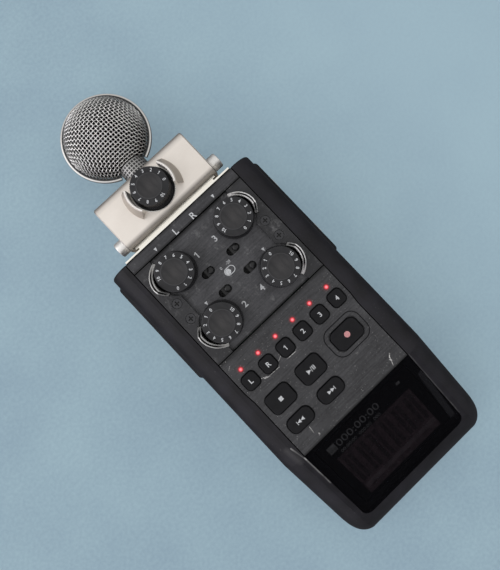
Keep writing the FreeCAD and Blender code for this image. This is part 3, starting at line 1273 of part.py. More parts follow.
def make_screws(pieces):
    """The four panel screws in the islands and the six case screws in the back."""
    screws = []
    face = PANEL_HEIGHT - PANEL_SCREW_SINK
    length = face - BOARD_TOP - SCREW_GAP
    for x, y in panel_screw_centres():
        screw = cross_screw(PANEL_SCREW_HEAD, PANEL_SCREW_HEAD_THICKNESS, PANEL_SCREW_SHANK, length)
        screw.translate(Vector(x, y, face))
        screws.append(screw)
    for x, y in case_screw_centres():
        screw = cross_screw(CASE_SCREW_HEAD, CASE_SCREW_HEAD_THICKNESS, CASE_SCREW_SHANK,
                            CASE_SCREW_LENGTH)
        screw.rotate(Vector(0, 0, 0), X_AXIS, HALF_TURN)
        screw.translate(Vector(x, y, CASE_SCREW_SINK))
        screws.append(screw)
    pieces["screws"] = screws


def make_mount_plate(pieces):
    """The bright plate on the body's end that the capsule seats against."""
    half = MOUNT_PLATE_WIDTH / 2
    top = PANEL_HEIGHT - MOUNT_PLATE_TOP_GAP
    plate = box(-half, half, BODY_LENGTH, PLATE_FACE_Y, MOUNT_PLATE_BOTTOM, top)
    pieces["mount_plate"] = plate.cut(plug_opening(PLUG_GAP, BODY_LENGTH - OVER, PLATE_FACE_Y + OVER))


def housing_blank():
    """The capsule housing's outer block, rounder at the body than at the ball."""
    half = HOUSING_WIDTH / 2
    block = box(-half, half, HOUSING_NEAR_Y, HOUSING_FAR_Y, HOUSING_BOTTOM, HOUSING_TOP)
    for y, radius in ((HOUSING_NEAR_Y, HOUSING_NEAR_ROUND), (HOUSING_FAR_Y, HOUSING_FAR_ROUND)):
        across = [edge for edge in edges_at(block, "Y", y) if edge.BoundBox.XLength > HOUSING_WALL
                  and edge.BoundBox.ZLength < HOUSING_WALL]
        block = block.makeFillet(radius, across)
    return block.makeChamfer(HOUSING_SIDE_BEVEL, edges_at(block, "X", half) + edges_at(block, "X", -half))


def make_capsule_housing(pieces):
    """The cast housing with the knob pocket, two guards and the neck of the ball."""
    half = HOUSING_WIDTH / 2
    inner = half - HOUSING_WALL
    cavity = box(-inner, inner, HOUSING_NEAR_Y - OVER, HOUSING_FAR_Y - HOUSING_WALL,
                 HOUSING_BOTTOM + HOUSING_WALL, HOUSING_TOP - HOUSING_WALL)
    floor = HOUSING_TOP - POCKET_DEPTH
    pocket_radius = KNOB_RADIUS + POCKET_GAP
    housing = housing_blank().cut(cavity)
    neck = rod(NECK_RADIUS, (0, HOUSING_FAR_Y - HOUSING_WALL / 2, BALL_CENTRE_HEIGHT), Y_AXIS,
               NECK_TOP_Y - HOUSING_FAR_Y + HOUSING_WALL / 2)
    housing = housing.fuse(neck)
    boss_top = HOUSING_TOP - HOUSING_WALL / 2
    boss = rod(pocket_radius + POCKET_FLOOR, (0, CAPSULE_KNOB_Y, floor - POCKET_FLOOR), Z_AXIS,
               boss_top - floor + POCKET_FLOOR)
    boss_end = HOUSING_FAR_Y - HOUSING_WALL / 2
    boss = boss.common(box(-FAR, FAR, HOUSING_NEAR_Y + SPIGOT_LENGTH, boss_end, 0, FAR))
    housing = housing.fuse(boss)
    for turn in (0, HALF_TURN):
        rim = polygon([
            (CAPSULE_GUARD_INNER, 0, boss_top), (CAPSULE_GUARD_FOOT, 0, boss_top),
            (CAPSULE_GUARD_FOOT, 0, HOUSING_TOP),
            (CAPSULE_GUARD_INNER + CAPSULE_GUARD_CREST, 0, CAPSULE_GUARD_TOP - GUARD_BEVEL),
            (CAPSULE_GUARD_INNER + CAPSULE_GUARD_CREST - GUARD_BEVEL, 0, CAPSULE_GUARD_TOP),
            (CAPSULE_GUARD_INNER + GUARD_BEVEL, 0, CAPSULE_GUARD_TOP),
            (CAPSULE_GUARD_INNER, 0, CAPSULE_GUARD_TOP - GUARD_BEVEL),
        ])
        fin = rim.revolve(Vector(0, 0, 0), Z_AXIS, 2 * CAPSULE_GUARD_SWEEP)
        fin.rotate(Vector(0, 0, 0), Z_AXIS, turn - CAPSULE_GUARD_SWEEP)
        fin.translate(Vector(0, CAPSULE_KNOB_Y, 0))
        housing = housing.fuse(fin)
    housing = housing.cut(rod(pocket_radius, (0, CAPSULE_KNOB_Y, floor), Z_AXIS, FAR))
    bush_hole = rod(BUSH_RADIUS + BUSH_GAP, (0, CAPSULE_KNOB_Y, floor - POCKET_FLOOR - OVER), Z_AXIS, FAR)
    housing = housing.cut(bush_hole)
    release_hole = rod(RELEASE_RADIUS + RELEASE_GAP, (-FAR, RELEASE_Y, RELEASE_HEIGHT), X_AXIS, 2 * FAR)
    housing = housing.cut(release_hole)
    stem_hole = rod(STEM_RADIUS + NECK_GAP, (0, HOUSING_FAR_Y - HOUSING_WALL - OVER, BALL_CENTRE_HEIGHT),
                    Y_AXIS, FAR)
    pieces["capsule_housing"] = housing.cut(stem_hole).removeSplitter()


def make_capsule_base(pieces):
    """The capsule's foot: a flange on the plate, the plug into the body and a spigot."""
    half = FLANGE_WIDTH / 2
    base = box(-half, half, FLANGE_NEAR_Y, HOUSING_NEAR_Y, FLANGE_BOTTOM, FLANGE_TOP)
    base = base.fuse(plug_opening(0, PLATE_FACE_Y - PLUG_DEPTH, HOUSING_NEAR_Y))
    inner = HOUSING_WIDTH / 2 - HOUSING_WALL - SPIGOT_GAP
    lip = HOUSING_WALL + HOUSING_NEAR_ROUND / 2
    spigot = box(-inner, inner, HOUSING_NEAR_Y, HOUSING_NEAR_Y + SPIGOT_LENGTH,
                 HOUSING_BOTTOM + lip, HOUSING_TOP - lip)
    pieces["capsule_base"] = base.fuse(spigot).removeSplitter()


def make_capsule_controls(pieces):
    """The capsule's gain knob and potentiometer, and the two release buttons in its sides."""
    floor = HOUSING_TOP - POCKET_DEPTH
    top = floor - POCKET_FLOOR - SEAT_GAP
    body = pot(top, CAPSULE_POT_HEIGHT, floor + KNOB_FLOOR_GAP / 2)
    body.translate(Vector(0, CAPSULE_KNOB_Y, 0))
    pieces["capsule_pot"] = body
    shaft_bottom = top - CAPSULE_POT_HEIGHT / 2 + SHAFT_END_GAP
    pieces["capsule_knob"] = knob_and_shaft(0, CAPSULE_KNOB_Y, floor + KNOB_FLOOR_GAP, shaft_bottom)
    wall = HOUSING_WIDTH / 2 - HOUSING_WALL
    flange_face = wall - RELEASE_GAP
    face = HOUSING_WIDTH / 2 + RELEASE_PROUD
    low = flange_face - RELEASE_FLANGE_THICKNESS
    cap = rod(RELEASE_RADIUS, (low, RELEASE_Y, RELEASE_HEIGHT), X_AXIS, face - low)
    cap = cap.makeFillet(KEY_EDGE, edges_at(cap, "X", face))
    flange = rod(RELEASE_RADIUS + RELEASE_FLANGE, (low, RELEASE_Y, RELEASE_HEIGHT), X_AXIS,
                 RELEASE_FLANGE_THICKNESS)
    button = cap.fuse(flange).removeSplitter()
    pieces["release_button_right"] = button
    pieces["release_button_left"] = mirrored(button)


def make_ball(pieces):
    """The microphone ball: a ring, two mesh domes and the elements on their stem."""
    low = BALL_CENTRE_HEIGHT - RING_THICKNESS / 2
    gate = rod(RING_GATE_RADIUS, (0, 0, BALL_CENTRE_HEIGHT), Y_AXIS, NECK_TOP_Y)
    neck = rod(NECK_RADIUS + NECK_GAP, (0, 0, BALL_CENTRE_HEIGHT), Y_AXIS, NECK_TOP_Y + NECK_GAP)
    ring = rod(RING_RADIUS, (0, BALL_CENTRE_Y, low), Z_AXIS, RING_THICKNESS)
    ring = ring.cut(rod(RING_RADIUS - RING_WIDTH, (0, BALL_CENTRE_Y, 0), Z_AXIS, FAR))
    pieces["ball_ring"] = ring.cut(gate)
    domes = []
    for side in (1, -1):
        centre = Vector(0, BALL_CENTRE_Y, BALL_CENTRE_HEIGHT - side * MESH_SINK)
        dome = Part.makeSphere(MESH_RADIUS, centre).cut(Part.makeSphere(MESH_RADIUS - MESH_THICKNESS, centre))
        outer = box(-FAR, FAR, 0, FAR, RING_THICKNESS / 2, FAR)
        if side < 0:
            outer = outer.mirror(Vector(0, 0, 0), Z_AXIS)
        outer.translate(Vector(0, 0, BALL_CENTRE_HEIGHT))
        domes.append(dome.cut(neck).common(outer))
    pieces["mesh_domes"] = domes
    stem = rod(STEM_RADIUS, (0, HOUSING_FAR_Y, BALL_CENTRE_HEIGHT), Y_AXIS, STEM_TOP_Y - HOUSING_FAR_Y)
    side_y = STEM_TOP_Y + ELEMENT_RADIUS
    side_start = (-ELEMENT_THICKNESS / 2, side_y, BALL_CENTRE_HEIGHT)
    side = rod(ELEMENT_RADIUS, side_start, X_AXIS, ELEMENT_THICKNESS)
    middle_start = (0, side_y + ELEMENT_RADIUS, BALL_CENTRE_HEIGHT)
    middle = rod(ELEMENT_RADIUS, middle_start, Y_AXIS, ELEMENT_THICKNESS)
    pieces["mic_elements"] = [stem, side, middle]


def main():
    """Make every piece, move it to the tripod thread's frame and write it."""
    pieces = {}
    makers = (
        make_covers, make_screen, make_control_panel, make_gain_panel, make_top_bar, make_guard_rails,
        make_gain_controls, make_pad_switches, make_keys, make_board, make_leds, make_input_side,
        make_side_controls, make_battery_bay, make_tripod_nut, make_screws, make_mount_plate,
        make_capsule_housing, make_capsule_base, make_capsule_controls, make_ball,
    )
    for maker in makers:
        maker(pieces)
    os.makedirs("parts", exist_ok=True)
    for name, made in pieces.items():
        solids = made if isinstance(made, list) else [made]
        shape = solids[0] if len(solids) == 1 else Part.makeCompound(solids)
        shape.translate(Vector(0, -TRIPOD_Y, 0))
        shape.exportStep("parts/" + name + ".step")
        print(name, len(shape.Solids), round(shape.Volume, 1), shape.isValid())


main()
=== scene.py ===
"""Handheld digital recorder with a plug-on mid-side microphone capsule, dressed over its CAD frame.

Lengths here are millimetres until they reach a mesh, where MM turns them into metres.
"""

import math

import bmesh
import bpy
from mathutils import Matrix, Vector


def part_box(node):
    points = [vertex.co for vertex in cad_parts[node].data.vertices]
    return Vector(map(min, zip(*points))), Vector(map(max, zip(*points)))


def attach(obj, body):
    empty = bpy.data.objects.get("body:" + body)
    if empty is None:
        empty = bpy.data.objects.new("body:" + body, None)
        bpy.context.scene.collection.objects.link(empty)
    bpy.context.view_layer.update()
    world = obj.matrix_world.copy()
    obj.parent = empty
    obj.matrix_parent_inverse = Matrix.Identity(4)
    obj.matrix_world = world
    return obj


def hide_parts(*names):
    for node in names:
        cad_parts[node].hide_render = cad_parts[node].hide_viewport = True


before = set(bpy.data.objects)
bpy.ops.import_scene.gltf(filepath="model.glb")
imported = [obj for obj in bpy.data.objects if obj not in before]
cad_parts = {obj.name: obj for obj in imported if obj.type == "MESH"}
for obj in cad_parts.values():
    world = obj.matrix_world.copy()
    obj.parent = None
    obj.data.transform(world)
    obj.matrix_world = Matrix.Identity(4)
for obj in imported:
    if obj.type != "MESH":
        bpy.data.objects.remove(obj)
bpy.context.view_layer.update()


# Shell
# Two halves moulded in black plastic with a fine spark-eroded grain; the front half carries the
# two long rails, the back half the battery bay.  Six screws from behind hold them together.
MM = 0.001


def paint(red, green, blue):
    """A colour as it is seen, in 0 to 255 steps, as the light it sends back."""
    steps = [channel / 255 for channel in (red, green, blue)]
    return [s / 12.92 if s <= 0.04045 else ((s + 0.055) / 1.055) ** 2.4 for s in steps] + [1.0]


class Wire:
    """One socket in a finish's node tree; sums and products with it add Math nodes."""

    def __init__(self, finish, socket):
        self.finish = finish
        self.socket = socket

    def of(self, operation, *others):
        """A Math node whose first value is this one."""
        return self.finish.node("Math", {"operation": operation}, dict(enumerate((self, *others))))

    def __add__(self, other):
        return self.of("ADD", other)

    def __sub__(self, other):
        return self.of("SUBTRACT", other)

    def __rsub__(self, other):
        return self.finish.node("Math", {"operation": "SUBTRACT"}, {0: other, 1: self})

    def __mul__(self, other):
        return self.of("MULTIPLY", other)

    __radd__ = __add__
    __rmul__ = __mul__

    def hypot(self, other):
        """The distance made by two steps at right angles."""
        return (self * self + other * other).of("SQRT")

    def ramp(self, low, high):
        """0 at the low value, 1 at the high one, and even in between."""
        return self.finish.node("MapRange", None, {"Value": self, "From Min": low, "From Max": high})

    def peak(self, centre, width):
        """1 where the value is at the centre, falling to 0 at a width on either side."""
        return 1.0 - (self - centre).of("ABSOLUTE").ramp(0.0, width)


SOCKETS = {"metallic": "Metallic", "specular": "Specular IOR Level", "alpha": "Alpha",
           "glow": "Emission Color", "strength": "Emission Strength"}


class Finish:
    """A material, or the world, and its node tree."""

    def __init__(self, owner):
        self.owner = owner
        owner.use_nodes = True
        self.tree = owner.node_tree
        self.tree.nodes.clear()

    def node(self, kind, settings=None, sockets=None, output=0):
        """One node with its settings, then the values or links of its sockets."""
        made = self.tree.nodes.new("ShaderNode" + kind)
        for name, value in (settings or {}).items():
            setattr(made, name, value)
        for name, value in (sockets or {}).items():
            if isinstance(value, Wire):
                self.tree.links.new(value.socket, made.inputs[name])
            else:
                made.inputs[name].default_value = value
        return Wire(self, made.outputs[output]) if made.outputs else None

    def place(self, stretch=(1, 1, 1)):
        """Where a point lies on the piece, in millimetres, with each axis stretched."""
        spot = self.node("TexCoord", output="Object")
        return self.node("Mapping", None, {"Vector": spot, "Scale": [s / MM for s in stretch]})

    def axis(self, name):
        """One coordinate of the point, in millimetres."""
        return self.node("SeparateXYZ", None, {0: self.place()}, output=name)

    def grain(self, size, stretch=(1, 1, 1), detail=2.0):
        """Noise whose blotches are about that many millimetres across."""
        sockets = {"Vector": self.place(stretch), "Scale": 1 / size, "Detail": detail}
        return self.node("TexNoise", None, sockets)

    def line(self, start, end, width):
        """1 on a straight line between two points, falling to 0 at a width beside it."""
        run = [b - a for a, b in zip(start, end)]
        span = sum(part * part for part in run)
        spot = self.node("VectorMath", {"operation": "SUBTRACT"}, {0: self.place(), 1: start})
        share = self.node("VectorMath", {"operation": "DOT_PRODUCT"},
                          {0: spot, 1: [part / span for part in run]}, output="Value").ramp(0.0, 1.0)
        foot = self.node("VectorMath", {"operation": "SCALE"}, {0: run, "Scale": share})
        gap = self.node("VectorMath", {"operation": "DISTANCE"}, {0: spot, 1: foot}, output="Value")
        return 1.0 - gap.ramp(0.0, width)

    def blend(self, share, *colours):
        """The first colour turning into the second; a tuple is a colour as it is seen."""
        first, second = [paint(*colour) if isinstance(colour, tuple) else colour for colour in colours]
        return self.node("Mix", {"data_type": "RGBA"}, {0: share, 6: first, 7: second}, output=2)

    def facing(self, name):
        """One part of the surface's direction, from -1 to 1."""
        normal = self.node("NewGeometry", output="Normal")
        return self.node("SeparateXYZ", None, {0: normal}, output=name)

    def surface(self, colour, rough, relief=None, depth=0.01, **others):
        """The outer surface, with relief of a depth in millimetres and other sockets of the shader."""
        sockets = {SOCKETS[name]: value for name, value in others.items()}
        sockets.update({"Base Color": colour, "Roughness": rough})
        if relief is not None:
            sockets["Normal"] = self.node("Bump", None, {"Height": relief, "Distance": depth * MM})
        self.node("OutputMaterial", None, {"Surface": self.node("BsdfPrincipled", None, sockets)})
        return self.owner


def finish_named(name):
    return Finish(bpy.data.materials.new(name))


def moulded(name, dark, light, gloss=0.42, grain=0.3, depth=0.012, specular=0.4, wear_and_highlight_mask=None):
    """Grained moulded plastic with faint cloudy handling marks, and pale where it is worn and where
    highlights are painted.
    """
    finish = finish_named(name)
    cloud = finish.grain(9.0, detail=4.0).ramp(0.35, 0.7)
    pits = finish.grain(grain, detail=3.0)
    tone = finish.blend(cloud, dark, light)
    if wear_and_highlight_mask:
        tone = finish.blend(wear_and_highlight_mask(finish), tone, (150, 149, 148))
    return finish.surface(tone, gloss + 0.1 * cloud + 0.06 * pits, pits, depth, specular=specular)


def dress(node, material):
    """Gives a CAD node its finish and keeps its shape."""
    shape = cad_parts[node]
    shape.data.materials.clear()
    shape.data.materials.append(material)


def rail_wear(finish):
    """Where the front half is polished along the crest of its rails and scuffed at the screen end, with a
    painted sheen beside the crest and painted highlight lines along both edges of the screen glass.
    """
    patchy = finish.grain(1.6, (1.0, 0.4, 1.0), detail=3.0).ramp(0.3, 0.6)
    rub = finish.line((-29.6, -50.4, 37.1), (-28.1, -57.6, 36.8), 0.45) * (0.5 + 0.5 * patchy)
    # Painted highlight: a soft sheen beside the left crest, and thin light lines along both edges of the
    # screen glass.
    painted_crest_sheen = finish.line((-31.4, -50.0, 36.9), (-30.4, -56.6, 36.6), 1.8)
    glass_edge_highlight = finish.line((-28.2, -56.4, 37.1), (-28.2, -72.0, 31.7), 0.5) * (0.2 + 0.4 * patchy)
    far_edge_highlight = finish.line((28.2, -56.4, 37.1), (28.2, -91.0, 25.2), 0.35) * (0.04 + 0.16 * patchy)
    specks = finish.grain(0.6).ramp(0.68, 0.74) * finish.grain(14.0).ramp(0.5, 0.7)
    return (rub + 0.09 * painted_crest_sheen + glass_edge_highlight + far_edge_highlight + 0.3 * specks).ramp(0.0, 1.0)


SHELL_TONES = ((24, 23, 26), (35, 34, 39))
shell_black = moulded("shell_black", *SHELL_TONES, specular=0.22)
dress("rear_cover", shell_black)
# The front half is worn along its rails and also carries painted highlights there and by the screen glass.
dress("front_cover", moulded("worn_and_highlit_shell", *SHELL_TONES, specular=0.22, wear_and_highlight_mask=rail_wear))


# Battery bay
# Four cells in printed sleeves between plated contact plates, behind a flat moulded door that
# swings on two pins at its screen end and has finger ridges moulded along its free edge.
def mesh_of(name, corners, faces):
    """A mesh from corners in millimetres."""
    mesh = bpy.data.meshes.new(name)
    mesh.from_pydata([Vector(corner) * MM for corner in corners], [], faces)
    mesh.validate()
    return mesh


def stack(name, rings, ends="closed"):
    """A skin over rings of equally many corners; its ends are closed, or joined into a loop."""
    count = len(rings[0])
    corners = [corner for ring in rings for corner in ring]
    faces = []
    levels = len(rings) if ends == "loop" else len(rings) - 1
    for level in range(levels):
        low = level * count
        high = (level + 1) % len(rings) * count
        for step in range(count):
            following = (step + 1) % count
            faces.append((low + step, low + following, high + following, high + step))
    if ends == "closed":
        faces.append(tuple(reversed(range(count))))
        faces.append(tuple(range(len(corners) - count, len(corners))))
    return mesh_of(name, corners, faces)


def joined(name, meshes):
    """Several meshes as one."""
    shape = bmesh.new()
    for mesh in meshes:
        shape.from_mesh(mesh)
        bpy.data.meshes.remove(mesh)
    result = bpy.data.meshes.new(name)
    shape.to_mesh(result)
    shape.free()
    return result


def moved(mesh, place, turn=Matrix.Identity(4)):
    """Turns a mesh about its origin, then moves that to a place in millimetres."""
    mesh.transform(Matrix.Translation(Vector(place) * MM) @ turn)
    return mesh


def added(name, data):
    """A new object in the scene."""
    thing = bpy.data.objects.new(name, data)
    bpy.context.scene.collection.objects.link(thing)
    return thing


def build(mesh, material, body, replaced=(), at=(0, 0, 0), crease=35):
    """Makes a mesh a piece that rides on a body, smooth except along its sharp edges."""
    mesh.shade_smooth()
    mesh.set_sharp_from_angle(angle=math.radians(crease))
    mesh.materials.append(material)
    piece = added(mesh.name, mesh)
    piece.location = Vector(at) * MM
    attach(piece, body)
    if replaced:
        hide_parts(*replaced)


def rounded_outline(width, height, corner, grow=0.0, steps=6):
    """Corners of a rounded oblong about the middle, counter-clockwise, grown or shrunk."""
    reach_x = width / 2 - corner
    reach_y = height / 2 - corner
    radius = corner + grow
    points = []
    for quarter, (side_x, side_y) in enumerate(((1, 1), (-1, 1), (-1, -1), (1, -1))):
        for step in range(steps + 1):
            turn = math.radians(90 * (quarter + step / steps))
            points.append((side_x * reach_x + radius * math.cos(turn),
                           side_y * reach_y + radius * math.sin(turn)))
    return points


def near_corner(node):
    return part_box(node)[0] / MM


def far_corner(node):
    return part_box(node)[1] / MM


def middle_of(node):
    return (near_corner(node) + far_corner(node)) / 2


dress("battery_door", shell_black)
RIDGE_PITCH = 1.5
ridges = []
for row in range(6):
    ridge_y = far_corner("battery_door").y - 4.0 - RIDGE_PITCH * row
    rings = []
    for height, grow in ((0.24, 0.0), (0.12, -0.02), (0.04, -0.12), (0.0, -0.26)):
        ring = [(x, ridge_y + y, height) for x, y in rounded_outline(17.0, 0.8, 0.38, grow, 3)]
        rings.append(ring[::-1])
    ridges.append(stack("ridge", rings))
build(joined("door_grip", ridges), shell_black, "battery_door")


def cell_sleeve():
    """Plain printed film round steel cells, bare at the ends."""
    finish = finish_named("cell_sleeve")
    film = finish.axis("Y").peak(-49.5, 26.0).ramp(0.05, 0.07)
    streak = finish.grain(6.0, (1.0, 0.1, 1.0), detail=3.0)
    print_tone = finish.blend(streak, (58, 60, 66), (80, 82, 88))
    return finish.surface(
        finish.blend(film, (190, 190, 188), print_tone), 0.28 + 0.15 * streak, finish.grain(0.4), 0.01,
        metallic=1.0 - film)


def metal(name, dark, light, rough, stretch=(1, 1, 1), size=0.3, depth=0.003, metallic=1.0):
    """Plated, cast or brushed metal; the stretch draws its grain out along one way."""
    finish = finish_named(name)
    grain = finish.grain(size, stretch, detail=3.0)
    cloud = finish.grain(7.0, detail=3.0).ramp(0.3, 0.7)
    return finish.surface(
        finish.blend(0.6 * grain + 0.4 * cloud, dark, light), rough + 0.12 * grain + 0.06 * cloud - 0.06,
        grain, depth, metallic=metallic)


dress("battery_cells", cell_sleeve())
nickel = metal("nickel", (176, 174, 170), (214, 212, 208), 0.24)
dress("battery_contacts", nickel)


# Tripod bush and case screws
# A brass bush with a coarse camera thread, nickel plated, flush with the back, and six blackened
# steel cross-head screws sunk in the back; four more of the same hold the gain panel.
def circle(radius, height, steps):
    """Corners of a flat ring about the Z axis."""
    turns = [math.tau * step / steps for step in range(steps)]
    return [(radius * math.cos(turn), radius * math.sin(turn), height) for turn in turns]


THREAD_STEPS = 48
THREAD_PITCH = 1.27
THREAD_LEVELS = 8
THREAD_DEPTH = 8.0
bush_rings = [circle(radius, THREAD_DEPTH, THREAD_STEPS) for radius in (0.3, 2.55)]
for level in range(int(THREAD_DEPTH / THREAD_PITCH * THREAD_LEVELS), -1, -1):
    height = level * THREAD_PITCH / THREAD_LEVELS
    mouth = max(0.0, 0.6 - height)
    ring = []
    for step in range(THREAD_STEPS):
        share = (height / THREAD_PITCH - step / THREAD_STEPS) % 1.0
        radius = 2.6 + 0.5 * abs(2 * share - 1) + mouth
        turn = math.tau * step / THREAD_STEPS
        ring.append((radius * math.cos(turn), radius * math.sin(turn), height))
    bush_rings.append(ring)
bush_profile = ((4.9, 0.0), (5.0, 0.1), (5.0, 3.0), (7.5, 3.0), (7.5, 4.5), (5.0, 4.5), (5.0, 9.5),
                (0.3, 9.5))
bush_rings += [circle(radius, height, THREAD_STEPS) for radius, height in bush_profile]
build(stack("threaded_bush", bush_rings, "loop"), nickel, "recorder", ["tripod_nut"])


def blacked_steel():
    """Blackened steel heads, with painted shade inside the cross."""
    finish = finish_named("screw_black")
    grain = finish.grain(0.2, detail=3.0)
    height = finish.axis("Z")
    # Painted shade: the cross recess is painted near black and less metallic.
    cross = height.ramp(37.0, 36.8) * height.ramp(1.2, 1.4)
    steel = finish.blend(grain, (50, 50, 52), (82, 82, 84))
    return finish.surface(
        finish.blend(cross, steel, (10, 10, 11)), 0.34 + 0.12 * grain, grain, 0.003,
        metallic=1.0 - 0.6 * cross)


dress("screws", blacked_steel())


# Circuit board and what is soldered to it
# A green glass-fibre board with key switches, the card socket, the speaker behind the grille and
# the potentiometers; none of it shows until the covers are off.
def board_finish():
    """Solder mask over copper tracks on the flat board, dark on its parts, and painted near black under the
    pad switches as shade seen through their slots.
    """
    finish = finish_named("board_mask")
    bare = finish.axis("Z").peak(29.15, 0.9).ramp(0.0, 0.1)
    tracks = finish.node("TexVoronoi", {"distance": "MANHATTAN"}, {"Vector": finish.place(), "Scale": 0.4})
    lines = (tracks * 3.0).of("FRACT").peak(0.5, 0.2)
    green = finish.blend(lines, (18, 66, 46), (34, 96, 66))
    # Painted shade: near black under the pad switches, where their slots look down on the board.
    slot_shade = finish.axis("X").peak(0.0, 14.0).ramp(0.0, 0.02)
    slot_shade = finish.axis("Y").peak(15.9, 12.0).ramp(0.0, 0.02) * slot_shade
    green = finish.blend(slot_shade, green, (12, 12, 13))
    mottle = finish.grain(1.2)
    parts = finish.blend(mottle, (38, 38, 40), (60, 60, 62))
    return finish.surface(finish.blend(bare, parts, green), 0.38 + 0.14 * mottle, lines, 0.03)


dress("main_board", board_finish())
pot_metal = metal("pot_metal", (150, 150, 150), (186, 186, 184), 0.32)
dress("gain_pots", pot_metal)


# Side controls
# Two knurled thumb wheels, a round menu button, a sliding power switch with ribs, two audio sockets
# with metal mouths, a USB socket and a hinged flap over the card slot, all along the lower sides.
def turned(name, profile, steps=64, ribs=0, ends="closed"):
    """A shape turned about the Z axis from levels: a radius, a height and, where ribbed, a depth."""
    rings = []
    for radius, height, *depth in profile:
        ring = []
        for step in range(steps):
            turn = math.tau * step / steps
            reach = radius - sum(depth) * (0.5 - 0.5 * math.cos(ribs * turn))
            ring.append((reach * math.cos(turn), reach * math.sin(turn), height))
        rings.append(ring)
    return stack(name, rings, ends)


def mirrored(levels):
    """Levels below zero, then the same ones above it."""
    return [*levels, *((radius, -height, *depth) for radius, height, *depth in reversed(levels))]


WHEEL_RIBS = 44
control_plastic = moulded("control_plastic", (30, 30, 32), (42, 42, 44), 0.36, 0.25, 0.008)
wheel_profile = mirrored(((1.55, -1.5), (6.2, -1.5), (6.55, -1.35), (6.95, -1.0, 0.35), (7.0, -0.6, 0.5)))
for name in ("volume_wheel", "scroll_wheel"):
    wheel = turned(name + "_rim", wheel_profile, WHEEL_RIBS * 6, WHEEL_RIBS, "loop")
    build(wheel, control_plastic, name, [name], middle_of(name))
dress("menu_button", control_plastic)
dress("power_switch", control_plastic)


def bar(low, high):
    """A block between two corners."""
    (x0, y0, z0), (x1, y1, z1) = low, high
    return stack("bar", [[(x0, y0, z), (x1, y0, z), (x1, y1, z), (x0, y1, z)] for z in (z0, z1)])


switch_ribs = []
for step in range(-2, 3):
    rib_y = middle_of("power_switch").y + 0.8 * step
    switch_ribs.append(bar((-38.15, rib_y - 0.18, 18.5), (-37.9, rib_y + 0.18, 20.7)))
build(joined("power_switch_ribs", switch_ribs), control_plastic, "power_switch")

socket_metal = metal("socket_metal", (150, 148, 146), (196, 194, 190), 0.3)
dress("side_sockets", socket_metal)
dress("card_cover", shell_black)
flap_y = middle_of("card_cover").y
flap_ridges = []
for step in range(3):
    ridge_z = far_corner("card_cover").z - 0.9 - 0.7 * step
    flap_ridges.append(bar((37.1, flap_y - 4.0, ridge_z - 0.15), (37.4, flap_y + 4.0, ridge_z + 0.15)))
build(joined("card_flap_grip", flap_ridges), shell_black, "card_cover")


# Input sides
# A bevelled black panel on each side, with two combination jacks let into it.  Each jack is a black
# moulding with three brass pin sockets round a plug bore, and a pressed metal release tab above.
input_black = moulded("input_black", (22, 22, 24), (30, 30, 32), 0.4, 0.35, 0.015, 0.25)
dress("input_panels", input_black)
jack_black = moulded("jack_black", (20, 20, 21), (28, 28, 29), 0.32, 0.2, 0.006)
latch_metal = metal("latch_metal", (150, 150, 150), (190, 190, 188), 0.3, (0.2, 1.0, 1.0), 0.15)
brass = metal("brass", (178, 148, 84), (214, 184, 120), 0.26)
JACK_Z = 16.5
PIN_CIRCLE = 5.4
pin_sleeve = ((0.75, 0.0), (1.15, 0.0), (1.15, 9.6), (1.0, 9.9), (0.75, 9.9))
plug_collar = ((2.75, 0.0), (3.1, 0.0), (3.15, 15.0), (3.0, 15.8), (2.7, 15.6))
for number in (1, 2, 3, 4):
    jack = "combo_jack_" + str(number)
    dress(jack, jack_black)
    dress("jack_latch_" + str(number), latch_metal)
    side = -1 if number < 3 else 1
    outward = Matrix.Rotation(math.radians(90 * side), 4, "Y")
    jack_y = middle_of(jack).y
    collar = turned("collar", plug_collar, 40, ends="loop")
    contacts = [moved(collar, (side * 20.9, jack_y, JACK_Z), outward)]
    for turn in (90, 210, 330):
        angle = math.radians(turn)
        place = (side * 26.8, jack_y + PIN_CIRCLE * math.cos(angle), JACK_Z - PIN_CIRCLE * math.sin(angle))
        contacts.append(moved(turned("sleeve", pin_sleeve, 20, ends="loop"), place, outward))
    build(joined("jack_contacts_" + str(number), contacts), brass, "recorder")


# Screen
# A display module glued under a thick black-backed glass, which lies on a ledge of the sloping
# end.  What it shows is printed here as light: a counter, six level columns and a bar.
SLOPE = math.radians(19.0)
SCREEN_TOP = Vector((0, -56.2, 37.2))
GLASS = 1.8


def on_screen(mesh, x, down, depth=GLASS + 0.08):
    """A mark with its place and turn, down from the sloping screen's upper edge and below its face."""
    sine, cosine = math.sin(SLOPE), math.cos(SLOPE)
    place = SCREEN_TOP + Vector((x, depth * sine - down * cosine, -down * sine - depth * cosine))
    return mesh, place, Matrix.Rotation(SLOPE, 4, "X")


def display_face():
    """The module: a black mirror-like panel in a grey frame."""
    finish = finish_named("display_face")
    mottle = finish.grain(5.0, detail=3.0)
    return finish.surface(finish.blend(mottle, (12, 11, 13), (22, 18, 22)), 0.3 + 0.1 * mottle)


dress("display_module", display_face())


def glowing(name, colour):
    """Light from part of the display, a little uneven."""
    finish = finish_named(name)
    uneven = finish.grain(2.4, detail=5.0).ramp(0.32, 0.66)
    return finish.surface(
        finish.blend(uneven, (8, 8, 9), (14, 14, 15)), 0.5 + 0.2 * uneven,
        glow=finish.blend(uneven, [c * 0.5 for c in paint(*colour)[:3]] + [1.0], colour), strength=1.0)


INK = 0.02


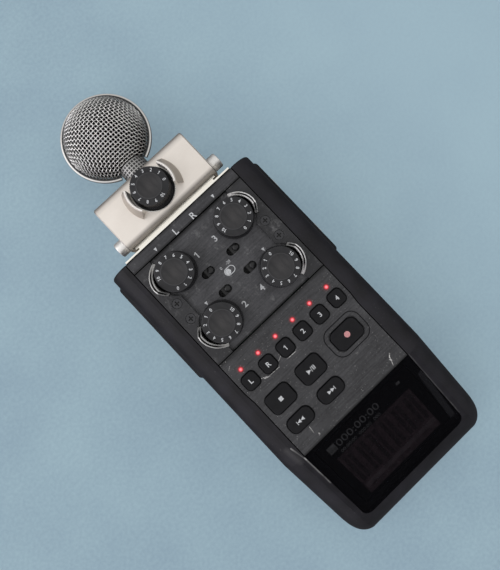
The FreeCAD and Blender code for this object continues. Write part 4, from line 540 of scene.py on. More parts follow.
def lettered(text, height, weight=0.0):
    """Printed characters about their own middle, standing a little proud."""
    curve = bpy.data.curves.new("ink", "FONT")
    curve.body = text
    curve.resolution_u = 4
    curve.extrude = 0.01
    curve.offset = weight
    holder = added("ink", curve)
    mesh = bpy.data.meshes.new_from_object(holder.evaluated_get(bpy.context.evaluated_depsgraph_get()))
    bpy.data.objects.remove(holder)
    bpy.data.curves.remove(curve)
    low = [min(vertex.co[axis] for vertex in mesh.vertices) for axis in range(2)]
    high = [max(vertex.co[axis] for vertex in mesh.vertices) for axis in range(2)]
    scale = height * MM / (high[1] - low[1])
    for vertex in mesh.vertices:
        x = (vertex.co.x - (low[0] + high[0]) / 2) * scale
        y = (vertex.co.y - (low[1] + high[1]) / 2) * scale
        vertex.co = (x, y, math.copysign(INK * MM, vertex.co.z))
    return mesh


def shape_of(outline):
    """A flat printed shape from its corners."""
    return stack("ink", [[(x, y, height) for x, y in outline] for height in (-INK, INK)])


def oblong(x0, y0, x1, y1):
    return shape_of([(x0, y0), (x1, y0), (x1, y1), (x0, y1)])


def numeral(text, height):
    """Printed digits; a 1 has a flag at its head."""
    if "1" not in text:
        return lettered(text, height, 0.018)
    outline = ((0.12, -0.5), (0.12, 0.5), (-0.05, 0.5), (-0.29, 0.33), (-0.29, 0.15), (-0.06, 0.29),
               (-0.06, -0.5))
    one = shape_of([(x * height, y * height) for x, y in outline])
    if text == "1":
        return one
    rest = moved(lettered(text[1:], height, 0.018), (0.34 * height, 0, 0))
    return joined("ink", [moved(one, (-0.4 * height, 0, 0)), rest])


def printed(name, marks, material, body):
    """Joins marks, each a mesh with its place and its turn if any, into one printed piece."""
    build(joined(name, [moved(*mark) for mark in marks]), material, body)


area = [on_screen(oblong(-20.2, -23.4, 19.6, 0.0), 0, 12.8, GLASS + 0.16)]
printed("display_area", area, glowing("display_area_light", (44, 34, 39)), "recorder")
columns = []
scale_marks = [on_screen(oblong(-19.6, 0.0, 19.2, 2.3), 0, 33.2)]
for column, letter in enumerate("LR1234"):
    column_x = -16.8 + 6.6 * column
    for half in (-1.25, 1.25):
        columns.append(on_screen(oblong(-0.85, 0.0, 0.85, 14.6), column_x + half, 29.4))
    scale_marks.append(on_screen(lettered(letter, 1.3), column_x, 35.0))
column_light = glowing("display_column_light", (27, 20, 24))
printed("display_columns", columns, column_light, "recorder")
scale_light = glowing("display_scale_light", (58, 50, 55))
printed("display_scale", scale_marks, scale_light, "recorder")
wide = Matrix.Scale(1.22, 4, (1, 0, 0))
segments = [
    on_screen(oblong(-1.9, -1.8, 1.9, 1.8), -18.8, 7.9),
    on_screen(moved(lettered("000:00:00", 3.3), (0, 0, 0), wide), -5.0, 7.8),
    on_screen(moved(lettered("00:00:00  000:00  000", 1.4), (0, 0, 0), wide), -6.2, 11.6),
    on_screen(oblong(-0.9, -0.6, 0.9, 0.6), 17.6, 7.4),
]
printed("display_segments", segments, glowing("display_light", (78, 78, 81)), "recorder")


def lens_glass():
    """Thick glass, black behind its rim, smudged and a little dusty, with a painted reflection along its
    right-hand side.
    """
    finish = finish_named("lens_glass")
    smudge = finish.grain(11.0, (1.0, 0.6, 1.0), detail=4.0).ramp(0.4, 0.75)
    dust = finish.grain(0.35).ramp(0.77, 0.8)
    # Painted reflection: a lighter sheen along the right-hand side of the glass.
    sheen = finish.line((26.9, -66.0, 33.8), (25.3, -89.0, 25.9), 1.5).ramp(0.0, 0.3)
    backing_and_sheen = finish.blend(sheen, (10, 10, 12), (34, 34, 37))
    return finish.surface(
        finish.blend(dust, backing_and_sheen, (80, 80, 82)), 0.06 + 0.08 * smudge + 0.3 * dust + 0.2 * sheen,
        specular=0.22, alpha=0.5)


dress("display_lens", lens_glass())


# Control panel and track lights
# The lower front plate: aluminium brushed across, lacquered dark grey and scuffed under the keys.
# Six red lights shine through holes in it.
FRONT = 37.2
LIGHT_PITCH = 9.21
LIGHT_Y = -15.5


def light_distance(finish):
    """How far a point is from the nearest track light, in millimetres."""
    across = (finish.axis("X") * (1 / LIGHT_PITCH) + 3.0).of("FRACT") - 0.5
    return (across * LIGHT_PITCH).hypot(finish.axis("Y") - LIGHT_Y)


def scuffs(finish):
    """White rub marks and scratches left on the lacquer below the track keys and by the screen."""
    broken = finish.grain(0.7, detail=4.0).ramp(0.36, 0.56)
    lines = (
        ((-20.2, -23.2), (-17.4, -24.6), 0.22), ((-18.6, -24.4), (-16.6, -25.0), 0.3),
        ((-15.9, -24.9), (-11.6, -25.1), 0.16), ((-11.2, -24.6), (-10.6, -21.8), 0.16),
        ((-7.2, -25.0), (-2.8, -25.2), 0.18), ((-2.4, -24.8), (-1.4, -22.6), 0.18),
        ((-3.6, -22.6), (-2.2, -20.4), 0.16), ((-10.6, -23.4), (-7.6, -22.2), 0.12),
        ((-18.8, -49.4), (-19.1, -51.9), 0.18), ((-17.8, -53.6), (-17.7, -54.1), 0.3),
        ((22.9, -50.9), (21.9, -51.9), 0.26), ((22.0, -52.0), (21.5, -53.4), 0.3),
        ((21.4, -53.7), (20.9, -55.0), 0.16), ((21.2, -52.4), (21.9, -53.4), 0.14),
        ((-26.6, -12.6), (-25.4, -11.8), 0.14),
    )
    marks = 0.0
    for start, end, width in lines:
        marks = finish.line((*start, FRONT), (*end, FRONT), width) + marks
    dots = finish.grain(0.42).ramp(0.7, 0.75)
    return (marks * broken + 0.55 * dots).ramp(0.0, 1.0)


def lacquer(name, node, dark, light, lit=False, sunk=False):
    """Lacquered plate brushed along X, with painted shade along its near and far edges; scuffed round its
    lights and with a painted red glow round them if lit, with dark islands if sunk.
    """
    finish = finish_named(name)
    streak = finish.grain(0.25, (0.03, 1.0, 1.0), detail=4.0).ramp(0.25, 0.75)
    broad = finish.grain(0.7, (0.06, 1.0, 1.0), detail=4.0).ramp(0.34, 0.66)
    mottle = finish.grain(0.8, detail=5.0).ramp(0.36, 0.66)
    cloud = finish.grain(9.0, detail=4.0).ramp(0.32, 0.7)
    tone = finish.blend(0.3 * streak + 0.25 * broad + 0.2 * mottle + 0.25 * cloud, dark, light)
    along = finish.axis("Y")
    # Painted shade: the plate darkens along its near and far edges, where it meets the next part.
    rim = along.ramp(near_corner(node).y + 0.9, near_corner(node).y + 0.3)
    rim = rim + along.ramp(far_corner(node).y - 1.6, far_corner(node).y - 0.3)
    tone = finish.blend(0.85 * rim, tone, (14, 14, 15))
    if sunk:
        tone = finish.blend(0.75 * finish.axis("Z").ramp(36.4, 37.0), tone, dark)
    lights = {}
    if lit:
        tone = finish.blend(scuffs(finish), tone, (214, 213, 210))
        # Painted light: a red glow on the lacquer round each track light.
        painted_glow = 1.0 - light_distance(finish).ramp(0.7, 2.1)
        lights = {"glow": finish.blend(painted_glow * painted_glow, (0, 0, 0), (150, 22, 26)), "strength": 0.45}
    else:
        speck = finish.grain(0.45).ramp(0.7, 0.76)
        rubbed = finish.grain(3.2, (1.0, 0.7, 1.0), detail=6.0).ramp(0.56, 0.7) * mottle
        tone = finish.blend(0.45 * speck + 0.3 * rubbed, tone, (150, 150, 150))
    rough = 0.36 + 0.1 * streak + 0.1 * mottle + 0.05 * cloud
    return finish.surface(tone, rough, streak + 0.6 * mottle, 0.012, specular=0.3, **lights)


lit_lacquer = lacquer("control_lacquer", "control_panel", (24, 24, 26), (76, 76, 78), lit=True)
dress("control_panel", lit_lacquer)


def light_finish():
    """A red lamp lens, pink at its middle and deep red at its edge."""
    finish = finish_named("track_light")
    middle = 1.0 - light_distance(finish).ramp(0.1, 0.75)
    edge = light_distance(finish).ramp(0.6, 1.0)
    glow = finish.blend(middle, (196, 30, 48), (244, 138, 148))
    return finish.surface(
        finish.blend(middle, (150, 26, 34), (220, 110, 112)), 0.25 + 0.1 * finish.grain(0.3),
        glow=finish.blend(edge, glow, (96, 12, 20)), strength=0.85)


dress("track_leds", light_finish())


# Keys
# Black rubber keys with soft edges and printed white symbols: six track keys in a row, then the
# transport keys.  The record key is wider, its dot is a faded red and a fine groove runs round it.
def rubber():
    """Silicone rubber, finely matt, with a trace of handling shine."""
    finish = finish_named("key_rubber")
    haze = finish.grain(2.5, detail=3.0).ramp(0.3, 0.7)
    fine = finish.grain(0.15)
    return finish.surface(
        finish.blend(haze, (18, 18, 20), (26, 26, 28)), 0.5 + 0.14 * haze + 0.06 * fine, fine,
        0.006, specular=0.16)


def ink(name, faded, fresh):
    """Screen printing, rubbed thin in places."""
    finish = finish_named(name)
    worn = finish.grain(0.35, detail=3.0).ramp(0.3, 0.6)
    return finish.surface(finish.blend(worn, faded, fresh), 0.5 + 0.1 * worn)


def disc(radius):
    return shape_of([(x, y) for x, y, _ in circle(radius, 0, 28)])


key_rubber = rubber()
white_ink = ink("white_ink", (150, 152, 154), (206, 208, 210))
panel_ink = ink("panel_ink", (150, 152, 154), (212, 214, 216))
red_ink = ink("red_ink", (176, 118, 120), (206, 146, 146))
KEY_TOP = 38.0


def arrow(tip, back, half):
    """A triangle with its tip on the X axis."""
    points = [(tip, 0), (back, half), (back, -half)]
    return shape_of(points if tip > back else points[::-1])


def band(name, inner, outer, low, high):
    """A strip between two outlines, from a low to a high level."""
    levels = ((inner, low), (outer, low), (outer, high), (inner, high))
    return stack(name, [[(x, y, z) for x, y in outline] for outline, z in levels], "loop")


key_marks = {
    "track_button_l": [lettered("L", 2.0, 0.015)],
    "track_button_r": [lettered("R", 2.0, 0.015)],
    "stop_button": [oblong(-0.82, -0.82, 0.82, 0.82)],
    "play_button": [arrow(-0.25, -1.95, 0.95), oblong(0.75, -0.9, 1.1, 0.9), oblong(1.45, -0.9, 1.8, 0.9),
                    shape_of([(-0.25, -1.0), (0.0, -1.0), (0.5, 1.0), (0.25, 1.0)])],
    "rewind_button": [oblong(-1.95, -0.75, -1.7, 0.75), arrow(-1.65, -0.1, 0.75), arrow(-0.05, 1.5, 0.75)],
    "forward_button": [oblong(1.7, -0.75, 1.95, 0.75), arrow(1.65, 0.1, 0.75), arrow(0.05, -1.5, 0.75)],
    "record_button": [disc(1.2)],
}
for track in "1234":
    key_marks["track_button_" + track] = [numeral(track, 2.0)]
for key, meshes in key_marks.items():
    dress(key, key_rubber)
    middle = middle_of(key)
    top = (middle.x, middle.y, KEY_TOP)
    material = red_ink if key == "record_button" else white_ink
    printed(key + "_symbol", [(mesh, top) for mesh in meshes], material, key)
    corner = 1.8 if "track" in key else 2.5 if key in ("rewind_button", "forward_button") else 2.2
    size = far_corner(key) - near_corner(key) - Vector((0.9, 0.9, 0))
    # Painted shade: a thin band of black rubber is laid in each key's gap, standing in for the shade there.
    edges = [rounded_outline(size.x, size.y, corner, grow) for grow in (0.26, 0.5)]
    lip = band(key + "_gap_shade", *edges, -0.2, INK)
    build(lip, key_rubber, "recorder", at=(middle.x, middle.y, FRONT))

groove_edges = [rounded_outline(17.66, 13.06, 4.38, grow, 8) for grow in (-0.41, 0.0)]
groove = band("record_groove", *groove_edges, -0.7, -0.12)
middle = middle_of("record_button")
build(groove, key_rubber, "recorder", at=(middle.x, middle.y, FRONT))


# Gain panel and pad switches
# The upper front plate, the same lacquer, sunk round the knobs between two islands with screws.
# Digits, pointers and the switch diagram are printed on it; each pad switch is a black pin.
SUNK = 35.7
gain_lacquer = lacquer("gain_lacquer", "gain_panel", (36, 36, 38), (90, 90, 93), sunk=True)
dress("gain_panel", gain_lacquer)
switch_black = moulded("switch_black", (18, 18, 19), (28, 28, 29), 0.3, 0.2, 0.004)
pin_profile = ((0.3, 0.0), (1.45, 0.0), (1.45, 2.7), (1.4, 3.0), (1.25, 3.28), (1.0, 3.45), (0.65, 3.55),
               (0.3, 3.6), (0.1, 3.6))
for number in (1, 2, 3, 4):
    node = "pad_switch_" + str(number)
    middle = middle_of(node)
    pin = joined(node + "_pin", [turned("pin", pin_profile, 36), bar((-2.5, -2.1, 0.0), (2.5, 2.1, 0.9))])
    build(pin, switch_black, node, [node], (middle.x, middle.y, near_corner(node).z))


def pill(width, height, line):
    """A slot with round ends, as a printed band."""
    inner, outer = [rounded_outline(width, height, height / 2 - 0.01, grow, 8) for grow in (-line, 0.0)]
    return band("ink", inner, outer, -INK, INK)


pointer = [(0, -0.85), (0.62, 0.75), (-0.62, 0.75)]
marks = [
    (numeral("1", 2.7), (-5.2, 28.5, SUNK)), (numeral("3", 2.7), (4.4, 28.5, SUNK)),
    (numeral("2", 2.7), (-4.6, 1.6, SUNK)), (numeral("4", 2.7), (4.6, 1.6, SUNK)),
    (lettered("0", 1.15), (-1.9, 18.1, SUNK)), (lettered("-20", 1.15), (1.7, 18.1, SUNK)),
    (pill(4.8, 3.2, 0.3), (0.1, 15.2, SUNK)), (disc(1.2), (-0.75, 15.2, SUNK)),
    (shape_of(pointer), (-15.4, 12.0, SUNK)), (shape_of(pointer), (15.4, 12.0, SUNK)),
]
printed("gain_panel_print", marks, panel_ink, "recorder")


# Guard rails
# Curved rails of polished steel that stand higher than the knobs, one on the outer side of each;
# their long ends slope down to the panel.
KNOB_X = 15.3
UPPER_Y = 29.0
LOWER_Y = 2.8
RAIL_RADIUS = 9.3


def polished():
    """Plated steel with satin lips and mirror-bright sides; faces that look up are painted lighter and less
    metallic than the sides as a painted highlight, and a painted dark reflection lies in the channel
    between the lips round each knob's centre.
    """
    finish = finish_named("rail_polish")
    haze = finish.grain(4.0, detail=2.0).ramp(0.3, 0.7)
    hair = finish.grain(0.3, (1.0, 1.0, 0.1), detail=2.0)
    # Painted highlight: faces that look up are painted lighter and less metallic than the sides.
    top_painted_lighter = finish.facing("Z").ramp(0.1, 0.3)
    across = finish.axis("X").of("ABSOLUTE") - KNOB_X
    along = (finish.axis("Y") - (UPPER_Y + LOWER_Y) / 2).of("ABSOLUTE") - (UPPER_Y - LOWER_Y) / 2
    # Painted reflection: the channel between the lips is painted dark.
    channel = across.hypot(along).peak(RAIL_RADIUS, 0.46).ramp(0.1, 0.6) * finish.axis("Z").ramp(38.6, 42.0)
    bright = finish.blend(haze, (228, 227, 224), (250, 249, 246))
    bright = finish.blend(top_painted_lighter, finish.blend(haze, (186, 185, 183), (206, 205, 203)), bright)
    return finish.surface(
        finish.blend(channel, bright, (36, 36, 37)), 0.14 + 0.1 * top_painted_lighter + 0.08 * haze + 0.04 * hair,
        hair, 0.001, metallic=0.95 - 0.5 * top_painted_lighter + 0.45 * channel)


RAIL_STEPS = 60
RAIL_TOP = 47.8
RAIL_FOOT = 34.2
half_section = ((0.75, None), (0.75, -0.6), (0.7, -0.3), (0.6, -0.1), (0.46, 0.0), (0.32, -0.02),
                (0.2, -0.14))
RAIL_SECTION = [(RAIL_RADIUS + out, drop) for out, drop in (*half_section, (0.0, -0.2))]
RAIL_SECTION += [(RAIL_RADIUS - out, drop) for out, drop in reversed(half_section)]
LONG_END = math.radians(62.0)
SHORT_END = math.radians(-30.0)
LONG_LEAN = math.tan(math.radians(50.0))
SHORT_LEAN = math.tan(math.radians(75.0))


def rail_height(turn, radius):
    """Height of the rail's top, which comes down to the panel at both ends."""
    long_rise = radius * math.sin(LONG_END - turn) * LONG_LEAN
    short_rise = radius * math.sin(turn - SHORT_END) * SHORT_LEAN
    return min(RAIL_TOP, FRONT + long_rise, FRONT + short_rise)


def guard_rail(x, y, side, up):
    """One rail about a knob: two lips with a shallow channel between them."""
    sections = []
    for step in range(RAIL_STEPS + 1):
        turn = SHORT_END + (LONG_END - SHORT_END) * step / RAIL_STEPS
        section = []
        for radius, drop in RAIL_SECTION:
            height = RAIL_FOOT if drop is None else rail_height(turn, radius) + drop
            section.append((x + side * radius * math.cos(turn), y + up * radius * math.sin(turn), height))
        sections.append(section)
    return stack("rail", sections if side * up < 0 else sections[::-1])


rails = []
for side in (-1, 1):
    rails.append(guard_rail(side * KNOB_X, UPPER_Y, side, 1))
    rails.append(guard_rail(side * KNOB_X, LOWER_Y, side, -1))
build(joined("knob_guards", rails), polished(), "recorder", ["guard_rails"], crease=50)


# Gain knobs
# Black moulded knobs with fine serrations, a number ring that slopes outwards and a dished cap.
# Each is pushed on to the shaft of its potentiometer.
KNOB_RIBS = 60
KNOB_TOP = 8.6
RING_SLOPE = math.atan(0.25 / 2.6)


def knob_plastic():
    """Satin moulded plastic: a matt number ring and a cap polished by thumbs; a painted sheen lightens the
    cap, most towards its centre, and painted highlight lines run along the cap's edge and the ring's outer
    edge.
    """
    finish = finish_named("knob_plastic")
    haze = finish.grain(2.2, (1.0, 0.35, 1.0), detail=4.0).ramp(0.3, 0.7)
    fine = finish.grain(0.2)
    reach = finish.axis("X").hypot(finish.axis("Y"))
    cap = reach.ramp(5.1, 4.9)
    # Painted highlight: light lines along the cap's edge and the number ring's outer edge.
    edge = (reach.peak(5.02, 0.22) + 0.7 * reach.peak(7.55, 0.22)) * finish.axis("Z").ramp(8.0, 8.1)
    tone = finish.blend(haze, (25, 25, 27), (38, 38, 40))
    # Painted sheen: the cap is painted lighter in hazy patches, and more so towards its centre.
    tone = finish.blend(cap * (0.15 + 0.85 * haze), tone, (48, 47, 48))
    tone = finish.blend(0.8 * reach.ramp(4.4, 1.0) * haze, tone, (62, 60, 60))
    return finish.surface(
        finish.blend(0.16 * edge, tone, (120, 120, 122)),
        0.42 - 0.1 * cap + 0.1 * haze + 0.05 * fine, fine, 0.006, specular=0.32)


def knob_mesh(name, shaft):
    """A serrated knob on its shaft, its lower face at zero."""
    profile = [(0.3, -shaft), (2.8, -shaft), (3.0, 0.2 - shaft), (3.0, 0.0), (8.15, 0.0), (8.25, 0.1),
               (8.25, 1.15), (8.15, 1.3), (8.0, 1.5, 0.28)]
    profile += [(8.0 - 0.2 * step / 6, 1.5 + 6.3 * step / 6, 0.28) for step in range(1, 7)]
    profile += [(7.74, 7.98, 0.2), (7.65, 8.12, 0.08), (7.56, 8.2), (7.45, 8.26), (7.2, 8.29), (6.2, 8.37),
                (5.35, 8.45), (5.22, 8.5), (5.12, 8.57), (5.0, 8.6), (4.85, 8.58)]
    for step in range(1, 9):
        radius = 4.7 * (1 - step / 8) + 0.3
        profile.append((radius, 8.05 + 0.5 * (radius / 4.9) ** 2))
    return turned(name, profile, KNOB_RIBS * 4, KNOB_RIBS)


black_knob = knob_plastic()
digit_ink = ink("digit_ink", (160, 162, 164), (214, 216, 218))


def make_knob(node, zero_turn, step=28.1):
    """One knob in its place, with 0 to 10 printed round its ring from a turn, step by step, in degrees."""
    low = near_corner(node)
    middle = middle_of(node)
    at = (middle.x, middle.y, far_corner(node).z - KNOB_TOP)
    build(knob_mesh(node + "_grip", at[2] - low.z), black_knob, node, [node], at, 30)
    narrow = Matrix.Rotation(-RING_SLOPE, 4, "X") @ Matrix.Scale(0.9, 4, (1, 0, 0))
    digits = []
    for number in range(11):
        turn = Matrix.Rotation(math.radians(zero_turn + step * number - 90), 4, "Z")
        digits.append((moved(numeral(str(number), 1.35), (0, 6.3, 8.36), narrow), at, turn))
    printed(node + "_digits", digits, digit_ink, node)


for node, zero_turn in (("gain_knob_1", -119.6), ("gain_knob_2", 88.0), ("gain_knob_3", -87.7),
                        ("gain_knob_4", 87.0)):
    make_knob(node, zero_turn)


# Top bar
# The short plate at the capsule end, lacquered like the rest, with channel letters and pointers.
bar_lacquer = lacquer("bar_lacquer", "top_bar", (32, 32, 34), (74, 74, 77))
dress("top_bar", bar_lacquer)
marks = [
    (lettered("L", 2.7, 0.015), (-4.8, 41.0, FRONT)), (lettered("R", 2.7, 0.015), (4.5, 41.0, FRONT)),
    (shape_of(pointer), (-15.35, 41.0, FRONT)), (shape_of(pointer), (15.35, 41.0, FRONT)),
]
printed("top_bar_print", marks, panel_ink, "recorder")


# Mount plate and capsule foot
# A bright plate on the body's end and, against it, the capsule's nickel flange with the black
# plug that goes into the body.
plate = metal("mount_plate_metal", (238, 234, 224), (252, 249, 240), 0.34, (0.05, 1.0, 1.0), 0.2)
dress("mount_plate", plate)


def foot_finish():
    """Bright flange, black plug in front of it."""
    finish = finish_named("capsule_foot")
    bright = finish.axis("Y").ramp(45.5, 45.56)
    grain = finish.grain(0.3)
    plug = finish.blend(grain, (20, 20, 21), (30, 30, 31))
    flange = finish.blend(grain, (238, 233, 222), (252, 247, 236))
    return finish.surface(
        finish.blend(bright, plug, flange), 0.4 - 0.1 * bright + 0.08 * grain, grain, 0.005,
        metallic=bright)


dress("capsule_base", foot_finish())


# Capsule housing, its knob and release buttons
# A cast housing in satin champagne paint, with a round pocket and two guards for the gain knob.
# Turned buttons stick out of both sides and draw the latches back.
POCKET_Y = 60.1


def satin_casting():
    """Metallic paint with very fine flake; painted shade makes the knob's pocket black and darkens the
    guards' outer skirts and the housing's rounded near and far edges, a painted highlight lightens the
    guards' inner lips, and wire mesh is painted round the neck, its wires darkened as painted shade.
    """
    finish = finish_named("satin_casting")
    flake = finish.grain(0.12, detail=1.0)
    cloud = finish.grain(10.0, detail=3.0).ramp(0.3, 0.7)
    across = finish.axis("X")
    along = finish.axis("Y") - POCKET_Y
    height = finish.axis("Z")
    reach = across.hypot(along)
    silver = finish.blend(0.5 * flake + 0.5 * cloud, (220, 212, 203), (236, 229, 221))
    # Painted shade: the guards' steep outer skirts are painted grey.
    skirt_shade = reach.ramp(10.35, 10.6) * height.ramp(35.05, 35.4) * height.ramp(41.9, 41.2)
    silver = finish.blend(0.8 * skirt_shade, silver, (150, 144, 136))
    # Painted highlight: the guards' inner lips are painted near white.
    lip = reach.ramp(10.3, 10.15) * height.ramp(35.5, 36.5)
    silver = finish.blend(0.7 * lip, silver, (248, 245, 240))
    # Painted shade: the rounded near and far edges of the housing are painted darker.
    rounded = 0.55 * along.ramp(-9.1, -10.7) * height.ramp(31.0, 31.2) + 0.4 * along.ramp(6.6, 9.2)
    silver = finish.blend(rounded, silver, (58, 54, 50))
    # The neck is painted as wire mesh; its wires are painted darker than the domes' wires as painted shade.
    silver = finish.blend(along.ramp(10.2, 10.28), silver, (166, 165, 163))
    around = across.of("ARCTAN2", height - 20.0) * (6.2 / 1.4)
    strands = around.of("FRACT").peak(0.5, 0.3)
    strands = strands.of("MAXIMUM", (along * (1 / 1.4)).of("FRACT").peak(0.5, 0.3))
    # Painted shade: the knob's pocket is painted black.
    pocket = reach.ramp(9.02, 8.98) * height.ramp(30.0, 30.1)
    black = pocket + along.ramp(10.24, 10.28) * (1.0 - strands.ramp(0.3, 0.7))
    return finish.surface(
        finish.blend(black, silver, (9, 9, 10)), 0.36 + 0.06 * flake + 0.05 * cloud, flake, 0.004,
        metallic=0.8 - 0.8 * black)


dress("capsule_housing", satin_casting())
dress("capsule_pot", pot_metal)
make_knob("capsule_knob", -19.2, 30.2)
bead = ((8.92, 34.6), (9.32, 34.6), (9.32, 35.02), (9.24, 35.12), (9.0, 35.12), (8.92, 35.02))
pocket_bead = turned("pocket_bead", bead, 96, ends="loop")
build(pocket_bead, nickel, "capsule", at=(0, POCKET_Y, 0))

silver = metal("turned_silver", (222, 220, 216), (246, 244, 241), 0.36, (1.0, 0.3, 0.3), 0.2,
               metallic=0.75)
button_profile = ((0.3, 0.0), (4.2, 0.0), (4.2, 1.0), (3.45, 1.0), (3.45, 3.3), (3.5, 3.4), (3.5, 3.7),
                  (3.2, 3.8), (3.2, 4.2), (3.5, 4.3), (3.5, 7.6), (3.44, 7.85), (3.3, 8.02), (3.1, 8.12),
                  (2.8, 8.15), (0.3, 8.15))
for node, side in (("release_button_left", -1), ("release_button_right", 1)):
    outward = Matrix.Rotation(math.radians(90 * side), 4, "Y")
    button = moved(turned(node + "_cap", button_profile, 56), (0, 0, 0), outward)
    middle = middle_of(node)
    build(button, silver, node, [node], (side * 20.85, middle.y, middle.z))


# Microphone ball
# Two domes woven from bright steel wire, pressed into a plated ring, over a fine black inner
# gauze; two microphone elements stand on a stem inside.
BALL = Vector((0, 93.8, 20.0))
SINK = 3.3
RIM_HEIGHT = 4.4
WOVEN_RADIUS = 18.43
WIRE_RADIUS = 0.178
WEAVE_PITCH = 1.395
WEAVE_LIFT = 0.2
WIRE_STEP = 0.34
WIRE_SIDES = 6
NECK = 6.6
dress("mic_elements", metal("element_metal", (120, 104, 66), (168, 148, 96), 0.3))


def wire_path(index, way):
    """Points of one wire on the upper dome, from its sphere's middle; the wires pass over and under."""
    offset = WOVEN_RADIUS * math.sin(index * WEAVE_PITCH / WOVEN_RADIUS)
    reach = math.sqrt(WOVEN_RADIUS ** 2 - offset ** 2)
    if reach < RIM_HEIGHT + 0.3:
        return []
    limit = math.acos(RIM_HEIGHT / reach)
    count = max(4, round(2 * limit * reach / WIRE_STEP))
    points = []
    for step in range(count + 1):
        turn = -limit + 2 * limit * step / count
        along = reach * math.sin(turn)
        crossing = math.asin(along / WOVEN_RADIUS) * WOVEN_RADIUS / WEAVE_PITCH
        lift = way * WEAVE_LIFT * math.cos(math.pi * (index + crossing))
        x, y = (offset, along) if way > 0 else (along, offset)
        points.append(Vector((x, y, reach * math.cos(turn))) * (1 + lift / WOVEN_RADIUS))
    return points


def clear_runs(points):
    """Splits a wire's points where the neck interrupts it, and drops stubs."""
    run = []
    for spot in points:
        if spot.y > 0 or math.hypot(spot.x, spot.z - SINK) > NECK:
            run.append(spot)
            continue
        if len(run) > 3:
            yield run
        run = []
    if len(run) > 3:
        yield run


def wire_mesh(run, side):
    """A thin tube along the points of a run; side is 1 on the front dome and -1 on the back one."""
    rings = []
    for place, spot in enumerate(run):
        ahead = (run[min(place + 1, len(run) - 1)] - run[max(place - 1, 0)]).normalized()
        outward = spot.normalized()
        outward = (outward - ahead * outward.dot(ahead)).normalized()
        beside = ahead.cross(outward)
        ring = []
        for corner in range(WIRE_SIDES):
            turn = math.tau * corner / WIRE_SIDES
            x, y, z = spot + (outward * math.cos(turn) + beside * math.sin(turn)) * WIRE_RADIUS
            ring.append(BALL + Vector((x, y, side * (z - SINK))))
        rings.append(ring)
    return stack("wire", rings[::side])


def woven_dome(name, side):
    """All wires of one dome, in both directions, as one mesh."""
    most = int(WOVEN_RADIUS * math.pi / 2 / WEAVE_PITCH)
    wires = []
    for way in (1, -1):
        for index in range(-most, most + 1):
            wires += [wire_mesh(run, side) for run in clear_runs(wire_path(index, way))]
    return joined(name, wires)


wire_metal = metal("wire_metal", (240, 239, 236), (254, 253, 251), 0.24, size=0.25, depth=0.001)
for name, side in (("woven_dome_front", 1), ("woven_dome_back", -1)):
    build(woven_dome(name, side), wire_metal, "capsule", ["mesh_domes"], crease=80)


def gauze():
    """Black lacquered gauze, so fine that it reads as cloth."""
    finish = finish_named("black_gauze")
    fine = finish.grain(0.3)
    return finish.surface(
        finish.blend(fine, (3, 3, 4), (9, 9, 10)), 0.85 + 0.1 * fine, fine, 0.05, specular=0.05)


def gauze_ring(radius, polar):
    """Where both domes' gauze meets a plane across the Y axis, at an angle from the far pole."""
    ring = []
    for cosine, sine, _ in circle(1.0, 0, 72):
        sunk = SINK * abs(sine)
        reach = math.sqrt(sunk ** 2 + (radius * math.sin(polar)) ** 2 - SINK ** 2) - sunk
        ring.append(BALL + Vector((reach * cosine, radius * math.cos(polar), reach * sine)))
    return ring


GAUZE_RADIUS = 17.7
GAUZE_STEPS = 36
FAR_POLE = math.asin(3.4 / GAUZE_RADIUS)
NECK_EDGE = math.pi - math.asin(8.1 / GAUZE_RADIUS)
polars = [FAR_POLE + (NECK_EDGE - FAR_POLE) * step / GAUZE_STEPS for step in range(GAUZE_STEPS + 1)]
gauze_rings = [gauze_ring(GAUZE_RADIUS, polar) for polar in polars]
gauze_rings += [gauze_ring(GAUZE_RADIUS - 0.2, polar) for polar in reversed(polars)]
build(stack("inner_gauze", gauze_rings, "loop"), gauze(), "capsule")

RING_STEPS = 128
RING_GAP = math.asin(6.85 / 18.8)
ring_profile = mirrored(((17.85, -0.8), (18.1, -1.0), (19.2, -1.0), (19.5, -0.88), (19.65, -0.6),
                         (19.69, -0.3)))
sections = []
for step in range(RING_STEPS + 1):
    turn = 1.5 * math.pi - RING_GAP - (math.tau - 2 * RING_GAP) * step / RING_STEPS
    sections.append([BALL + Vector((r * math.cos(turn), r * math.sin(turn), z)) for r, z in ring_profile])


def ring_finish():
    """Satin plating, with painted shade on its inner side where it meets the wire."""
    finish = finish_named("ring_plating")
    # Painted shade: the ring is painted dark where it meets the wire.
    seam_shade = finish.axis("X").hypot(finish.axis("Y") - BALL.y).ramp(18.95, 18.8)
    grain = finish.grain(0.4, detail=3.0)
    plating = finish.blend(grain, (188, 186, 183), (216, 214, 211))
    return finish.surface(
        finish.blend(seam_shade, plating, (30, 30, 31)), 0.3 + 0.1 * grain, grain, 0.003,
        metallic=1.0 - seam_shade)


build(stack("plated_ring", sections), ring_finish(), "capsule", ["ball_ring"])


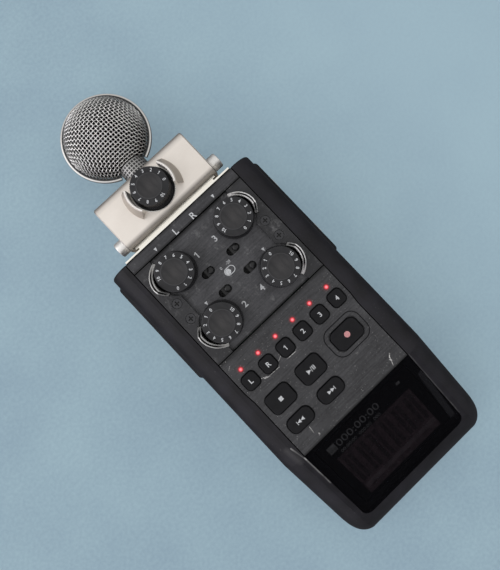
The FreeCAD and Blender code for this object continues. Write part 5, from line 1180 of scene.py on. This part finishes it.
# Floor, light and camera
# A pale blue-grey card, one large soft lamp from the left-hand side and an even room, seen from
# above where the photograph was taken.
def card():
    """Matt card with faint fibres, painted lighter towards +X as a painted fall of light."""
    finish = finish_named("floor_card")
    cloud = finish.grain(45.0, detail=5.0).ramp(0.32, 0.66)
    fibre = finish.grain(1.6, detail=6.0).ramp(0.3, 0.7)
    colour = finish.blend(0.5 * cloud + 0.5 * fibre, (140, 163, 178), (157, 182, 193))
    # Painted light: the card is painted lighter towards +X.
    colour = finish.blend(0.6 * finish.axis("X").ramp(10.0, 130.0), colour, (164, 190, 202))
    seen, glossy, through = [finish.node("LightPath", output="Is " + ray + " Ray")
                             for ray in ("Camera", "Glossy", "Transmission")]
    backdrop = (seen + glossy + through).ramp(0.0, 1.0)
    colour = finish.blend(glossy, colour, (96, 100, 104))
    half = finish.blend(0.5 * backdrop, colour, (0, 0, 0))
    return finish.surface(
        half, 0.8 + 0.1 * fibre, fibre, 0.01, specular=0.2,
        glow=finish.blend(backdrop, (0, 0, 0), half), strength=1.0)


FLOOR_HALF = 3000.0
FLOOR_Z = -0.02
corners = [(x * FLOOR_HALF, y * FLOOR_HALF, FLOOR_Z) for x, y in ((-1, -1), (1, -1), (1, 1), (-1, 1))]
floor_mesh = mesh_of("floor", corners, [(0, 1, 2, 3)])
floor_mesh.materials.append(card())
floor = added("floor", floor_mesh)

lamp = bpy.data.lights.new("key_lamp", "AREA")
lamp.size = 800 * MM
lamp.energy = 2.6
LAMP_PLACE = Vector((-700, 420, 560))
LAMP_AIM = Vector((0, 0, 20))
lamp_holder = added("key_lamp", lamp)
lamp_holder.location = LAMP_PLACE * MM
lamp_holder.rotation_euler = (LAMP_AIM - LAMP_PLACE).to_track_quat("-Z", "Y").to_euler()

world = bpy.data.worlds.new("room")
bpy.context.scene.world = world
room = Finish(world)
way = room.node("TexCoord", output="Generated")
height = room.node("SeparateXYZ", None, {0: way}, output="Z")
left = 0.0 - room.node("SeparateXYZ", None, {0: way}, output="X")
doorway = room.node("VectorMath", {"operation": "DOT_PRODUCT"}, {0: way, 1: (0.0, -0.87, 0.49)},
                    output="Value")
walls = room.blend(height.ramp(0.1, 0.8), [0.4, 0.4, 0.41, 1.0], [0.93, 0.93, 0.93, 1.0])
walls = room.blend(0.8 * left.ramp(0.4, 0.9), walls, [1.3, 1.25, 1.36, 1.0])
sky = room.blend(0.97 * doorway.ramp(0.88, 0.97), walls, [0.02, 0.02, 0.03, 1.0])
seen = room.node("LightPath", output="Is Camera Ray")
sky = room.blend(seen, sky, (150, 174, 186))
room.node("OutputWorld", None, {"Surface": room.node("Background", None, {"Color": sky, "Strength": 1.0})})

PHOTO_LONG_SIDE = 570
camera_data = bpy.data.cameras.new("camera")
camera_data.sensor_width = 36.0
camera_data.lens = 499.9 * camera_data.sensor_width / PHOTO_LONG_SIDE
camera_data.shift_x = -0.1 / PHOTO_LONG_SIDE
camera_data.shift_y = -49.35 / PHOTO_LONG_SIDE
camera_data.clip_start = 10 * MM
camera = added("camera", camera_data)
forward = Vector((0.05453, 0.04649, -0.99743)).normalized()
right = forward.cross(Vector((0.68602, 0.72409, 0.07126))).normalized()
up = right.cross(forward)
turn = Matrix((right, up, -forward)).transposed().to_4x4()
camera.matrix_world = Matrix.Translation((0.004528, 0.010428, 0.233361)) @ turn
bpy.context.scene.camera = camera
bpy.context.scene.view_settings.view_transform = "Standard"
